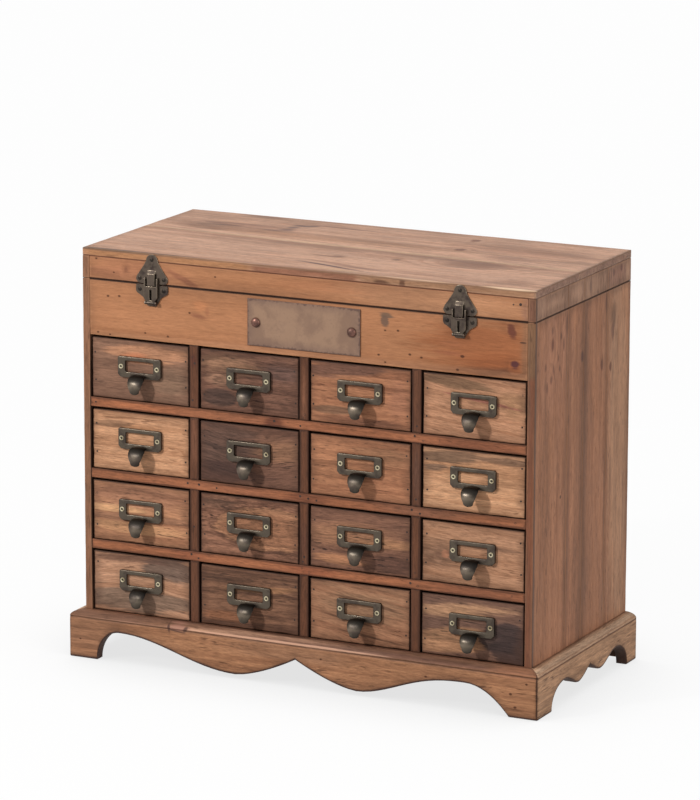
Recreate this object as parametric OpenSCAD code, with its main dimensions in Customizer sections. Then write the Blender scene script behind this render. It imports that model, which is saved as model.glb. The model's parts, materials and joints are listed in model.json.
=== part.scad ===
// Apothecary chest: sixteen small drawers under a hinged lid, on a scalloped plinth.
// Millimetres. +Z is up, +X is to the right seen from the front, and the front faces -Y.
// The origin is on the floor, under the middle of the whole piece.

/* [Case] */
// Width of the case
case_w = 500; // [440:5:600]
// Depth of the case, from its front face to its back face
case_d = 238; // [200:2:300]
// Thickness of the side boards
side_t = 8; // [6:0.5:12]
// Thickness of the back panel
back_t = 6; // [4:0.5:9]
// Thickness of the case floor
floor_t = 10; // [8:0.5:13]
// Thickness of the shelves between the rows of drawers
shelf_t = 10; // [8:0.2:14]
// Thickness of the dividers between the columns of drawers
divider_t = 10; // [7:0.5:13]
// Height of one drawer opening
opening_h = 64.4; // [54:0.2:80]
// Height of the fascia board above the drawers
fascia_h = 57.9; // [54:0.1:75]
// Thickness of the fascia board
fascia_t = 9; // [7:0.5:12]
// Thickness of the floor of the till under the lid
till_t = 5; // [4:0.5:8]
// Bevel on the edges that show
edge = 0.7; // [0.3:0.1:1.2]

/* [Lid] */
// Thickness of the top board
lid_top_t = 8; // [6:0.5:12]
// Height of the boards round the lid
lid_skirt_h = 23; // [21:0.5:34]
// Thickness of the boards round the lid
lid_skirt_t = 8; // [6:0.5:12]
// Gap between the closed lid and the case
lid_gap = 0.3; // [0.2:0.1:0.5]

/* [Plinth] */
// Height of the plinth
plinth_h = 49.5; // [46:0.5:70]
// Thickness of the plinth boards, which is how far they stand out from the case
plinth_t = 12; // [9:0.5:18]
// Height of the rounded moulding along the top edge
moulding_h = 6; // [4:0.2:10]
// Height of the groove under the moulding
quirk_h = 1.1; // [0.8:0.1:2]
// Depth of the groove under the moulding
quirk_d = 1; // [0.5:0.1:2]
// Width of the front feet along the front
foot_w = 31; // [22:1:45]
// Depth of the feet along the sides
side_foot_w = 35; // [20:1:40]
// Height of the arch beside the left front foot
arch_h = 31; // [24:0.5:34]
// Height of the arch beside the right front foot
arch_h_right = 28.8; // [24:0.1:34]
// Run of the curve from the left front foot up to its arch
arch_run_left = 26; // [20:1:45]
// Run of the curve from the right front foot up to its arch
arch_run_right = 48; // [20:1:60]
// How far the point between the lobes lies left of the middle
cusp_left = 4; // [0:0.5:8]
// Distance from that point to the lowest place of each lobe
lobe_x = 68; // [55:1:90]
// Height of the lobes above the floor
lobe_h = 4.5; // [3:0.5:12]
// Height of the point between the lobes
cusp_h = 28.5; // [20:0.5:32]
// Height of the arches beside the side feet
side_arch_h = 25; // [18:0.5:32]
// Run of the curve from a front foot up to the arch in the side
side_arch_run = 34; // [20:1:38]
// Run of the curve from a back foot up to the arch in the side
back_arch_run = 29; // [20:1:38]
// Half the distance between the two lobes of a side board
side_lobe_y = 27; // [20:1:34]
// Height of the side lobes above the floor
side_lobe_h = 13.5; // [8:0.5:18]
// Thickness of the plain rail at the back
back_rail_t = 10; // [8:0.5:14]
// Size of the square glue blocks in the corners
block_w = 12; // [10:1:24]
// Gap between the glue blocks and the floor
block_lift = 6; // [2:1:12]

/* [Drawers] */
// Thickness of the drawer fronts
front_t = 10; // [8:0.5:13]
// Thickness of the drawer sides and backs
drawer_side_t = 6; // [4:0.5:8]
// Thickness of the drawer bottoms
drawer_bottom_t = 4; // [3:0.5:6]
// How far the fronts lie behind the face of the case
recess = 1.5; // [0.4:0.1:3]
// Gap at each side of a drawer
drawer_side_gap = 1.5; // [0.6:0.1:2]
// Gap above a drawer
drawer_top_gap = 2.2; // [1:0.1:3]
// Running gap under a drawer
drawer_lift = 0.3; // [0.2:0.1:0.6]
// Gap behind a drawer
drawer_back_gap = 6; // [2:1:20]
// How far the drawer sides end below the top of the front
side_drop = 3; // [1:0.5:8]
// How far the drawer bottom lies above the lower edge of the front
bottom_raise = 2; // [1:0.5:4]
// Bevel round the face of a drawer front
front_edge = 1.1; // [0.5:0.1:2]
// Glue line between the boards of a drawer, and under the head of a screw
glue = 0.1; // [0.05:0.05:0.2]

/* [Label pulls] */
// Width of the plate
pull_w = 49; // [44:1:60]
// Height of the plate
pull_h = 21.5; // [19:0.5:26]
// Thickness of the plate with its rim
pull_t = 3; // [2.4:0.1:4]
// Width of the window
window_w = 32; // [26:0.5:34]
// Height of the window
window_h = 11.5; // [8:0.5:12.5]
// Height of the rail above the window
top_rail = 4.1; // [3.5:0.1:6]
// Cut corners at the foot of the plate
corner_cut = 3; // [1:0.5:4]
// Thickness of the front sheet of the plate
sheet_t = 1.4; // [1:0.1:1.8]
// How far the tongue reaches from the drawer face
pull_reach = 15; // [11:0.5:18]
// Width of the tongue at the plate
tongue_root = 18; // [13:0.5:20]
// Width of the tongue at its tip
tongue_tip = 11; // [8:0.5:12]
// How far the tongue hangs below the plate
tongue_drop = 14.5; // [10:0.5:16]
// Thickness of the tongue
tongue_t = 1.8; // [1.4:0.1:2.4]
// Distance between the two screws
screw_pitch = 41; // [37:0.5:43]
// Diameter of a screw head
screw_d = 5; // [3.5:0.1:5.5]
// Height of the plate's centre above the centre of the opening
pull_rise = 2.7; // [0:0.1:5]

/* [Nameplate] */
// Width of the plate
nameplate_w = 125; // [90:1:150]
// Height of the plate
nameplate_h = 48; // [36:0.5:50]
// Thickness of the plate
nameplate_t = 1.2; // [0.8:0.1:2]
// Distance between its two nails
nail_pitch = 106; // [70:1:130]
// Diameter of a nail head
nail_d = 10; // [7:0.5:12]
// Height of a nail head
nail_h = 3; // [2:0.2:4]

/* [Latches] */
// Distance from each latch's middle to the side of the case
latch_inset = 80; // [60:1:130]
// Width of the latch plates
latch_w = 36; // [32:1:44]
// Thickness of the latch plates
latch_t = 1.2; // [0.8:0.1:1.6]
// Height of the plate on the fascia
base_h = 22; // [20.5:0.5:26]
// Height from the lever's pivot up to the case's top edge
pivot_drop = 18.2; // [16:0.2:19]
// Distance of the lever's pivot from the fascia
pivot_out = 4; // [3.8:0.1:5]
// Radius of the lever's barrel
barrel_r = 1.7; // [1.5:0.1:2]
// Radius of the pivot pin
pivot_r = 0.8; // [0.6:0.05:1]
// Width of the lever
lever_w = 15.2; // [14:0.2:18]
// Width of the lever's foot, which turns on the pin
lever_foot = 9.6; // [8:0.2:12]
// Thickness of the lever's cheeks
cheek_t = 1.4; // [1:0.1:1.8]
// How far the lever's arms reach above the edge of the lid
arm_over = 7; // [4:0.5:12]
// Width of the tongue on the lid
catch_w = 8.6; // [6:0.2:9.4]
// Width of the slot in the lever
slot_w = 2.8; // [1.6:0.2:4]
// Running gap of the lever
lever_gap = 0.5; // [0.3:0.1:0.6]

/* [Hinges] */
// Distance from each hinge's middle to the side of the case
hinge_inset = 100; // [50:1:160]
// Width of a hinge
hinge_w = 40; // [30:1:60]
// Height of a hinge leaf from the pin to its far edge
leaf_h = 17; // [14:0.5:19.5]
// Thickness of a leaf
leaf_t = 1.2; // [0.8:0.1:1.6]
// Radius of the hinge knuckles
knuckle_r = 2.4; // [2:0.1:3]
// Radius of the hinge pin
pin_r = 1.2; // [0.8:0.1:1.4]
// Gap between knuckles, and between knuckles and what they pass
hinge_gap = 0.4; // [0.3:0.05:0.6]
// Radial clearance of a pin in its hole
pin_clear = 0.05; // [0.02:0.01:0.08]

/* [Hidden] */
rows = 4;
columns = 4;

// Depth: the middle of the whole piece, from the pulls or plinth to the hinge knuckles.
knuckle_out = knuckle_r + hinge_gap;
front_reach = max(plinth_t, pull_reach - recess);
front_y = (front_reach - case_d - knuckle_out - knuckle_r) / 2;
back_y = front_y + case_d;
inner_back_y = back_y - back_t;
face_y = front_y + recess;

// Width: the openings share what the boards leave.
inner_w = case_w - 2 * side_t;
opening_w = (inner_w - (columns - 1) * divider_t) / columns;
column_pitch = opening_w + divider_t;

// Height: the floor shows a little above the plinth, and the rows stand on it.
floor_show = 0.3;
floor_z = plinth_h + floor_show;
floor_low = floor_z - floor_t;
row_pitch = opening_h + shelf_t;
ceiling_z = floor_z + rows * row_pitch - shelf_t;
case_top = ceiling_z + fascia_h;
lid_low = case_top + lid_gap;
lid_high = lid_low + lid_skirt_h;

// Drawers
drawer_w = opening_w - 2 * drawer_side_gap;
drawer_h = opening_h - drawer_top_gap - drawer_lift;
drawer_end_y = inner_back_y - drawer_back_gap;
side_board_h = drawer_h - side_drop;

// Pulls
pocket_w = window_w + 4;
screw_h = 1.1;
tail_h = tongue_drop * 0.4;
bend_h = tongue_drop - tail_h;
rail_overlap = 3.4;
tip_round = 4;
screw_rise = 0.4;

// Plinth
outer_x = case_w / 2 + plinth_t;
side_mid_y = (front_y + back_y) / 2;

// Latches
latch_x = case_w / 2 - latch_inset;
latch_foot = 0.5;
plate_h = lid_skirt_h + lid_top_t - 2 * latch_foot;
plate_low = lid_low + latch_foot;
crown_r = 6.5;
ear_r = 5;
ear_h = 6.5;
pivot_z = case_top - pivot_drop;
pivot_y = front_y - pivot_out;
shoulder_z = pivot_z + 5.5;
foot_top = pivot_z + barrel_r + lever_gap;
sheet_front = latch_t + lever_gap;
web_t = 1;
cheek_d = 2.7;
lug_t = 1.4;
lug_gap = 0.3;
catch_t = 1.2;
catch_low = lid_low - 1.2;
web_top = catch_low - 0.6;
catch_out = sheet_front + cheek_d - lever_gap;
catch_rise = 16;
catch_slope = 4;
latch_screw_d = 4.4;
latch_screw_h = 0.6;
ear_screw_x = latch_w / 2 - 4.4;

// The nameplate sits a little above the middle of the fascia.
nameplate_z = ceiling_z + fascia_h / 2 + 1.4;

// Hinges
hinge_x = case_w / 2 - hinge_inset;
hinge_y = back_y + knuckle_out;
hinge_z = case_top + lid_gap / 2;
middle_w = hinge_w / 3;
leaf_clear = knuckle_r + hinge_gap + 0.2;

smooth = 48;
fine = 24;

// Left edge of a column's opening and lower edge of a row's opening, rows counted from the top.
function column_x(col) = -case_w / 2 + side_t + (col - 1) * column_pitch;
function row_z(row) = floor_z + (rows - row) * row_pitch;

// A rectangle whose corners are cut by the sizes in cuts: low left, low right, high right, high left.
function cut_corner(corner, a, b, cut) =
    cut > 0 ? [corner + a * cut, corner + b * cut] : [corner];
function cut_rectangle(w, h, cuts) = concat(
    cut_corner([0, 0], [0, 1], [1, 0], cuts[0]),
    cut_corner([w, 0], [-1, 0], [0, 1], cuts[1]),
    cut_corner([w, h], [0, -1], [-1, 0], cuts[2]),
    cut_corner([0, h], [1, 0], [0, -1], cuts[3]));

// Points mirrored about x = 0, and points in reverse order less some at the start of the new list.
function flipped(points) = [for (p = points) [-p[0], p[1]]];
function backwards(points, less) = [for (i = [len(points) - 1 - less:-1:0]) points[i]];

// Points on an arc of an ellipse.
function arc(center, rx, rz, from, to, steps) =
    [for (i = [0:steps]) let (a = from + (to - from) * i / steps)
        center + [rx * cos(a), rz * sin(a)]];

// An outline drawn in Y and Z and carried along X, or drawn in X and Z and carried along Y.
module along_x(length) { rotate([90, 0, 90]) linear_extrude(length) children(); }
module along_y(length) { translate([0, length, 0]) rotate([90, 0, 0]) linear_extrude(length) children(); }

module board(low, high) { translate(low) cube(high - low); }

// Case

module case_side(x, outer_cuts) {
    translate([x, front_y, floor_low]) along_y(case_d)
        polygon(cut_rectangle(side_t, case_top - floor_low, outer_cuts));
}

module side_left() { color("peru") case_side(-case_w / 2, [0, 0, 0, edge]); }

module side_right() { color("peru") case_side(case_w / 2 - side_t, [0, 0, edge, 0]); }

module back_panel() {
    color("sienna") board([-inner_w / 2, inner_back_y, floor_low], [inner_w / 2, back_y, case_top]);
}

module case_floor() {
    color("sienna") board([-inner_w / 2, front_y, floor_low], [inner_w / 2, inner_back_y, floor_z]);
}

module till_floor() {
    color("tan") board([-inner_w / 2, front_y + fascia_t, ceiling_z],
                       [inner_w / 2, inner_back_y, ceiling_z + till_t]);
}

module fascia() {
    color("peru") translate([-inner_w / 2, front_y, ceiling_z]) along_x(inner_w)
        polygon(cut_rectangle(fascia_t, fascia_h, [0, 0, 0, edge]));
}

module shelves() {
    color("sienna") for (row = [1:rows - 1])
        board([-inner_w / 2, front_y, row_z(row) - shelf_t], [inner_w / 2, inner_back_y, row_z(row)]);
}

module column_dividers() {
    color("sienna") for (row = [1:rows], col = [2:columns])
        board([column_x(col) - divider_t, front_y, row_z(row)],
              [column_x(col), inner_back_y, row_z(row) + opening_h]);
}

// Plinth

// Cross-section of a plinth board: distance out from the case and height.
function plinth_section() = let (shoulder = plinth_h - moulding_h) concat(
    [[0, 0], [plinth_t, 0], [plinth_t, shoulder - quirk_h],
     [plinth_t - quirk_d, shoulder - quirk_h], [plinth_t - quirk_d, shoulder]],
    arc([0, shoulder], plinth_t, moulding_h, 0, 90, 10));

// Lower edge of a scalloped board, from the foot at the start up its arch, down a long S to a lobe
// and up again to the point in the middle. Distances are measured from the middle of the board.
// A rise of 1 is a quarter ellipse and 2 a softer curve; a fall above 1 keeps the arch high for longer.
function scallop_half(foot_x, run, arch, lobe, low, cusp, rise, fall) = let (arch_x = foot_x - run) concat(
    [for (i = [0:10]) let (a = 9 * i) [arch_x + run * cos(a), arch * pow(sin(a), rise)]],
    [for (i = [1:12]) let (t = i / 12)
        [arch_x + (lobe - arch_x) * t, low + (arch - low) * (1 + cos(180 * pow(t, fall))) / 2]],
    [for (i = [1:10]) let (t = i / 10) [lobe * (1 - t), low + (cusp - low) * pow(t, 1.5)]]);

// The stock between two ends, with the scallop as its lower edge; its halves meet at the middle given.
module scalloped(left_end, right_end, middle, left_half, right_half) {
    edge_points = [for (p = concat(flipped(left_half), backwards(right_half, 1))) [p[0] + middle, p[1]]];
    polygon(concat([[left_end, plinth_h], [left_end, 0]], edge_points,
                   [[right_end, 0], [right_end, plinth_h]]));
}

module plinth_front() {
    foot_x = outer_x - foot_w;
    color("peru") intersection() {
        translate([-outer_x, front_y, 0]) mirror([0, 1, 0]) along_x(2 * outer_x)
            polygon(plinth_section());
        translate([0, front_y - 2 * plinth_t, 0]) along_y(3 * plinth_t)
            scalloped(-outer_x, outer_x, -cusp_left,
                      scallop_half(foot_x - cusp_left, arch_run_left, arch_h, lobe_x, lobe_h, cusp_h, 1, 1),
                      scallop_half(foot_x + cusp_left, arch_run_right, arch_h_right, lobe_x, lobe_h, cusp_h,
                                   2, 1.3));
        linear_extrude(plinth_h) polygon([[-outer_x, front_y - plinth_t], [outer_x, front_y - plinth_t],
                                          [case_w / 2, front_y], [-case_w / 2, front_y]]);
    }
}

module plinth_side() {
    foot_y = case_d / 2 - side_foot_w + plinth_t;
    half = scallop_half(foot_y, side_arch_run, side_arch_h, side_lobe_y, side_lobe_h, side_arch_h, 1, 1);
    back_half = scallop_half(foot_y, back_arch_run, side_arch_h, side_lobe_y, side_lobe_h, side_arch_h, 1, 1);
    intersection() {
        translate([case_w / 2, front_y - plinth_t, 0]) along_y(case_d + plinth_t)
            polygon(plinth_section());
        translate([0, side_mid_y, 0]) along_x(outer_x)
            scalloped(-case_d / 2 - plinth_t, case_d / 2, 0, half, back_half);
        linear_extrude(plinth_h) polygon([[case_w / 2, front_y], [outer_x, front_y - plinth_t],
                                          [outer_x, back_y], [case_w / 2, back_y]]);
    }
}

module plinth_right() { color("peru") plinth_side(); }

module plinth_left() { color("peru") mirror([1, 0, 0]) plinth_side(); }

module plinth_back() {
    color("sienna") board([-case_w / 2, back_y - back_rail_t, side_arch_h], [case_w / 2, back_y, floor_low]);
}

module corner_blocks() {
    reach_x = case_w / 2 - block_w;
    color("tan") for (side = [-1, 1]) {
        board([side > 0 ? reach_x : -case_w / 2, front_y, block_lift],
              [side > 0 ? case_w / 2 : -reach_x, front_y + block_w, floor_low]);
        board([side > 0 ? reach_x : -case_w / 2, back_y - back_rail_t - block_w, block_lift],
              [side > 0 ? case_w / 2 : -reach_x, back_y - back_rail_t, floor_low]);
    }
}

// Lid

module lid_top() {
    color("burlywood") intersection() {
        translate([-case_w / 2, front_y, lid_high]) along_x(case_w)
            polygon(cut_rectangle(case_d, lid_top_t, [0, 0, edge, edge]));
        translate([-case_w / 2, front_y, lid_high]) along_y(case_d)
            polygon(cut_rectangle(case_w, lid_top_t, [0, 0, edge, edge]));
    }
}

module lid_end(x, cuts) {
    translate([x, front_y, lid_low]) along_y(case_d)
        polygon(cut_rectangle(lid_skirt_t, lid_skirt_h, cuts));
}

module lid_left() { color("peru") lid_end(-case_w / 2, [edge, 0, 0, 0]); }

module lid_right() { color("peru") lid_end(case_w / 2 - lid_skirt_t, [0, edge, 0, 0]); }

module lid_rail(y, cuts) {
    length = case_w - 2 * lid_skirt_t;
    translate([-length / 2, y, lid_low]) along_x(length)
        polygon(cut_rectangle(lid_skirt_t, lid_skirt_h, cuts));
}

module lid_front() { color("peru") lid_rail(front_y, [edge, 0, 0, 0]); }

module lid_back() { color("peru") lid_rail(back_y - lid_skirt_t, [0, 0, 0, 0]); }

// Hinges

// One leaf: the plate stands above the pin line when up is 1 and below it when up is -1.
module leaf_plate(up) {
    plate = leaf_h - leaf_clear;
    translate([-hinge_w / 2, back_y, up > 0 ? hinge_z + leaf_clear : hinge_z - leaf_h])
        cube([hinge_w, leaf_t, plate]);
}

module leaf_screws(up) {
    for (side = [-1, 1])
        translate([side * hinge_w / 4, back_y + leaf_t + glue, hinge_z + up * (leaf_h + leaf_clear) / 2])
            rotate([-90, 0, 0]) cylinder(d1 = latch_screw_d, d2 = latch_screw_d * 0.6,
                                         h = latch_screw_h, $fn = fine);
}

// A knuckle from x0 to x1, with the web that joins it to its leaf and the hole for the pin.
module knuckle(x0, x1, up) {
    difference() {
        union() {
            translate([x0, hinge_y, hinge_z]) rotate([0, 90, 0])
                cylinder(r = knuckle_r, h = x1 - x0, $fn = smooth);
            translate([x0, back_y, up > 0 ? hinge_z : hinge_z - leaf_clear])
                cube([x1 - x0, leaf_t, leaf_clear]);
        }
        translate([x0 - 1, hinge_y, hinge_z]) rotate([0, 90, 0])
            cylinder(r = pin_r + pin_clear, h = x1 - x0 + 2, $fn = smooth);
    }
}

module hinge_case_leaves() {
    color("darkgoldenrod") for (side = [-1, 1]) translate([side * hinge_x, 0, 0]) {
        union() {
            leaf_plate(-1);
            knuckle(-hinge_w / 2, -middle_w / 2 - hinge_gap / 2, -1);
            knuckle(middle_w / 2 + hinge_gap / 2, hinge_w / 2, -1);
        }
        leaf_screws(-1);
    }
}

module hinge_lid_leaves() {
    color("darkgoldenrod") for (side = [-1, 1]) translate([side * hinge_x, 0, 0]) {
        union() {
            leaf_plate(1);
            knuckle(-middle_w / 2 + hinge_gap / 2, middle_w / 2 - hinge_gap / 2, 1);
        }
        leaf_screws(1);
    }
}

module hinge_pins() {
    color("gray") for (side = [-1, 1])
        translate([side * hinge_x - hinge_w / 2, hinge_y, hinge_z]) rotate([0, 90, 0])
            cylinder(r = pin_r, h = hinge_w, $fn = smooth);
}

// Latches

// A screw head that stands on a surface facing -Y.
module front_screw(x, y, z, d, h) {
    translate([x, y - glue, z]) rotate([90, 0, 0]) cylinder(d1 = d, d2 = d * 0.6, h = h, $fn = fine);
}

// Bell-shaped plate on the lid: round crown, sides that flare, two round ears.
function bell_half() = let (neck_z = plate_h - crown_r, half = latch_w / 2) concat(
    arc([half - ear_r, ear_r], ear_r, ear_r, -90, 0, 6),
    [for (i = [1:9]) let (t = i / 10)
        [crown_r + (half - crown_r) * pow(1 - t, 1.15), ear_h + (neck_z - ear_h) * t]],
    arc([0, neck_z], crown_r, crown_r, 0, 90, 8));

module latch_plate() {
    translate([0, front_y - latch_t, plate_low]) along_y(latch_t)
        polygon(concat(bell_half(), flipped(backwards(bell_half(), 1))));
}

// The bent tongue that the lever's arms close round.
module latch_catch() {
    out = front_y - catch_out;
    top = catch_low + catch_rise;
    translate([-catch_w / 2, 0, 0]) along_x(catch_w)
        polygon([[front_y - latch_t / 2, top], [out, top - catch_slope], [out, catch_low],
                 [out + catch_t, catch_low], [out + catch_t, top - catch_slope - catch_t / 2],
                 [front_y - latch_t / 2, top - catch_slope / 2 - catch_t]]);
}

module latch_plates() {
    color("dimgray") for (side = [-1, 1]) translate([side * latch_x, 0, 0]) {
        union() {
            latch_plate();
            latch_catch();
        }
        front_screw(0, front_y - latch_t, plate_low + plate_h - crown_r + 1, latch_screw_d, latch_screw_h);
        for (ear = [-1, 1])
            front_screw(ear * ear_screw_x, front_y - latch_t, plate_low + ear_r, latch_screw_d, latch_screw_h);
    }
}

// Plate on the fascia: two round ears, then a slope in to the lever's lugs and a narrow foot.
function base_half() = let (half = latch_w / 2, hip = lever_foot / 2 + lug_gap + lug_t) concat(
    [[half - edge, -latch_foot], [half, -latch_foot - edge]],
    arc([half - ear_r, -ear_h], ear_r, ear_r * 0.8, 0, -70, 6),
    [[hip + 3.6, -pivot_drop + 5], [hip + 0.5, -pivot_drop], [hip * 0.75, -base_h]]);

module base_lug(x) {
    translate([x, 0, 0]) difference() {
        union() {
            translate([0, pivot_y, pivot_z]) rotate([0, 90, 0]) cylinder(r = barrel_r, h = lug_t, $fn = smooth);
            translate([0, pivot_y, pivot_z - barrel_r]) cube([lug_t, pivot_out - latch_t / 2, 2 * barrel_r]);
        }
        translate([-1, pivot_y, pivot_z]) rotate([0, 90, 0])
            cylinder(r = pivot_r + pin_clear, h = lug_t + 2, $fn = smooth);
    }
}

module latch_bases() {
    lug_x = lever_foot / 2 + lug_gap;
    color("dimgray") for (side = [-1, 1]) translate([side * latch_x, 0, 0]) {
        union() {
            translate([0, front_y - latch_t, case_top]) along_y(latch_t)
                polygon(concat(base_half(), flipped(backwards(base_half(), 0))));
            base_lug(lug_x);
            base_lug(-lug_x - lug_t);
        }
        translate([-lug_x - lug_t, pivot_y, pivot_z]) rotate([0, 90, 0])
            cylinder(r = pivot_r, h = 2 * (lug_x + lug_t), $fn = smooth);
        for (ear = [-1, 1])
            front_screw(ear * ear_screw_x, front_y - latch_t, case_top - latch_foot - ear_r,
                        latch_screw_d, latch_screw_h);
    }
}

// One cheek of the lever, seen from the side: an arm with a round top that ends above the barrel.
module cheek_outline() {
    arm_top = lid_low + arm_over;
    inner = front_y - sheet_front;
    polygon(concat([[inner - cheek_d, shoulder_z], [inner, shoulder_z + cheek_d / 2]],
                   arc([inner - cheek_d / 2, arm_top - cheek_d / 2], cheek_d / 2, cheek_d / 2, 0, 180, 10)));
}

// Front view of the lever: straight down from its arms, then narrowing to the foot on the pin.
module lever_front() {
    polygon([[-lever_w / 2, web_top], [-lever_w / 2, shoulder_z], [-lever_foot / 2, foot_top],
             [-lever_foot / 2, pivot_z], [lever_foot / 2, pivot_z], [lever_foot / 2, foot_top],
             [lever_w / 2, shoulder_z], [lever_w / 2, web_top]]);
}

module latch_lever() {
    web_front = front_y - sheet_front - cheek_d;
    difference() {
        union() {
            for (x = [-lever_w / 2, lever_w / 2 - cheek_t])
                translate([x, 0, 0]) along_x(cheek_t) cheek_outline();
            translate([0, web_front, 0]) along_y(web_t) lever_front();
            translate([-lever_foot / 2, pivot_y, pivot_z]) rotate([0, 90, 0])
                cylinder(r = barrel_r, h = lever_foot, $fn = smooth);
        }
        translate([-lever_w, pivot_y, pivot_z]) rotate([0, 90, 0])
            cylinder(r = pivot_r + pin_clear, h = 2 * lever_w, $fn = smooth);
        translate([-slot_w / 2, web_front - 1, pivot_z + barrel_r + 1])
            cube([slot_w, web_t + 2, web_top - pivot_z - barrel_r - 4]);
    }
}

module latch_lever_left() { color("darkslategray") translate([-latch_x, 0, 0]) latch_lever(); }

module latch_lever_right() { color("darkslategray") translate([latch_x, 0, 0]) latch_lever(); }

// Nameplate: a bare plate held by two dome nails

module nameplate() {
    color("rosybrown") translate([-nameplate_w / 2, front_y - nameplate_t, nameplate_z - nameplate_h / 2])
        along_y(nameplate_t) polygon(cut_rectangle(nameplate_w, nameplate_h, [1, 1, 1, 1]));
}

// A dome nail: the cap of a ball, turned round its own axis.
module nameplate_nails() {
    ball = (nail_d * nail_d / 4 + nail_h * nail_h) / (2 * nail_h);
    rim = asin(nail_d / 2 / ball);
    color("saddlebrown") for (side = [-1, 1])
        translate([side * nail_pitch / 2, front_y - nameplate_t, nameplate_z]) rotate([90, 0, 0])
            rotate_extrude($fn = smooth)
                polygon(concat([[0, 0]], arc([0, nail_h - ball], ball, ball, 90 - rim, 90, 8)));
}

// Drawers

// Drawer fronts were cut from old boards of several tones.
tones = ["burlywood", "saddlebrown", "peru", "rosybrown"];
function tone(row, col) = tones[(2 * row + col + (row > 2 ? 1 : 0)) % 4];

module drawer_front() {
    intersection() {
        along_x(drawer_w) polygon(cut_rectangle(front_t, drawer_h, [front_edge, 0, 0, front_edge]));
        linear_extrude(drawer_h)
            polygon(cut_rectangle(drawer_w, front_t, [front_edge, front_edge, 0, 0]));
    }
}

module drawer(row, col) {
    length = drawer_end_y - face_y;
    box_y = front_t + glue;
    inset = drawer_side_t + glue;
    inner = drawer_w - 2 * inset;
    color(tone(row, col))
        translate([column_x(col) + drawer_side_gap, face_y, row_z(row) + drawer_lift]) {
            drawer_front();
            for (x = [0, drawer_w - drawer_side_t])
                translate([x, box_y, 0]) cube([drawer_side_t, length - box_y, side_board_h]);
            translate([inset, length - drawer_side_t, 0]) cube([inner, drawer_side_t, side_board_h]);
            translate([inset, box_y, bottom_raise]) cube([inner, length - box_y - inset, drawer_bottom_t]);
        }
}

// Label pulls: local Y is 0 at the drawer face, Z is 0 at the middle of the plate.

module pull_plate() {
    window_z = pull_h / 2 - top_rail - window_h;
    difference() {
        translate([-pull_w / 2, -pull_t, -pull_h / 2]) along_y(pull_t) difference() {
            polygon(cut_rectangle(pull_w, pull_h, [corner_cut, corner_cut, corner_cut / 3, corner_cut / 3]));
            translate([(pull_w - window_w) / 2, window_z + pull_h / 2]) square([window_w, window_h]);
        }
        translate([-pocket_w / 2, sheet_t - pull_t, window_z - 2])
            cube([pocket_w, pull_t, window_h + 4]);
    }
}

// Side view of the tongue: a quarter of an ellipse out from the lower rail, then a straight tail.
module tongue_side() {
    out = pull_reach;
    bend_z = -pull_h / 2 - bend_h;
    rise = bend_h + rail_overlap;
    root_y = pull_t - sheet_t / 2;
    outer = arc([-root_y, bend_z], -(out - root_y), rise, 90, 0, 14);
    inner = arc([-root_y, bend_z], -(out - root_y - tongue_t), rise - tongue_t, 0, 90, 14);
    tail_z = -pull_h / 2 - tongue_drop;
    polygon(concat(outer, [[-out, tail_z], [tongue_t - out, tail_z]], inner));
}

// Front view of the tongue: it narrows to a rounded tip.
module tongue_front() {
    tail_z = -pull_h / 2 - tongue_drop;
    root_z = -pull_h / 2 + rail_overlap;
    bend_z = -pull_h / 2 - bend_h;
    half = [[tongue_root / 2 - 0.6, root_z], [tongue_root / 2, root_z - rail_overlap],
            [tongue_root / 2 - 0.8, root_z - rail_overlap - bend_h * 0.5], [tongue_tip / 2 + 1.1, bend_z]];
    tip = arc([0, tail_z + tip_round], tongue_tip / 2, tip_round, 0, -180, 16);
    polygon(concat(half, tip, flipped(backwards(half, 0))));
}

module pull(row, col) {
    color("darkolivegreen")
        translate([column_x(col) + opening_w / 2, face_y, row_z(row) + opening_h / 2 + pull_rise]) {
            union() {
                pull_plate();
                intersection() {
                    translate([-tongue_root, 0, 0]) along_x(2 * tongue_root) tongue_side();
                    translate([0, -pull_reach - 1, 0]) along_y(pull_reach + 1) tongue_front();
                }
            }
            for (side = [-1, 1])
                front_screw(side * screw_pitch / 2, -pull_t, screw_rise, screw_d, screw_h);
        }
}

for (row = [1:rows], col = [1:columns]) {
    drawer(row, col);
    pull(row, col);
}
side_left();
side_right();
back_panel();
case_floor();
till_floor();
fascia();
shelves();
column_dividers();
plinth_front();
plinth_left();
plinth_right();
plinth_back();
corner_blocks();
lid_top();
lid_front();
lid_back();
lid_left();
lid_right();
hinge_case_leaves();
hinge_lid_leaves();
hinge_pins();
latch_plates();
latch_bases();
latch_lever_left();
latch_lever_right();
nameplate();
nameplate_nails();
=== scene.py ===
import json
import math

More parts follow.
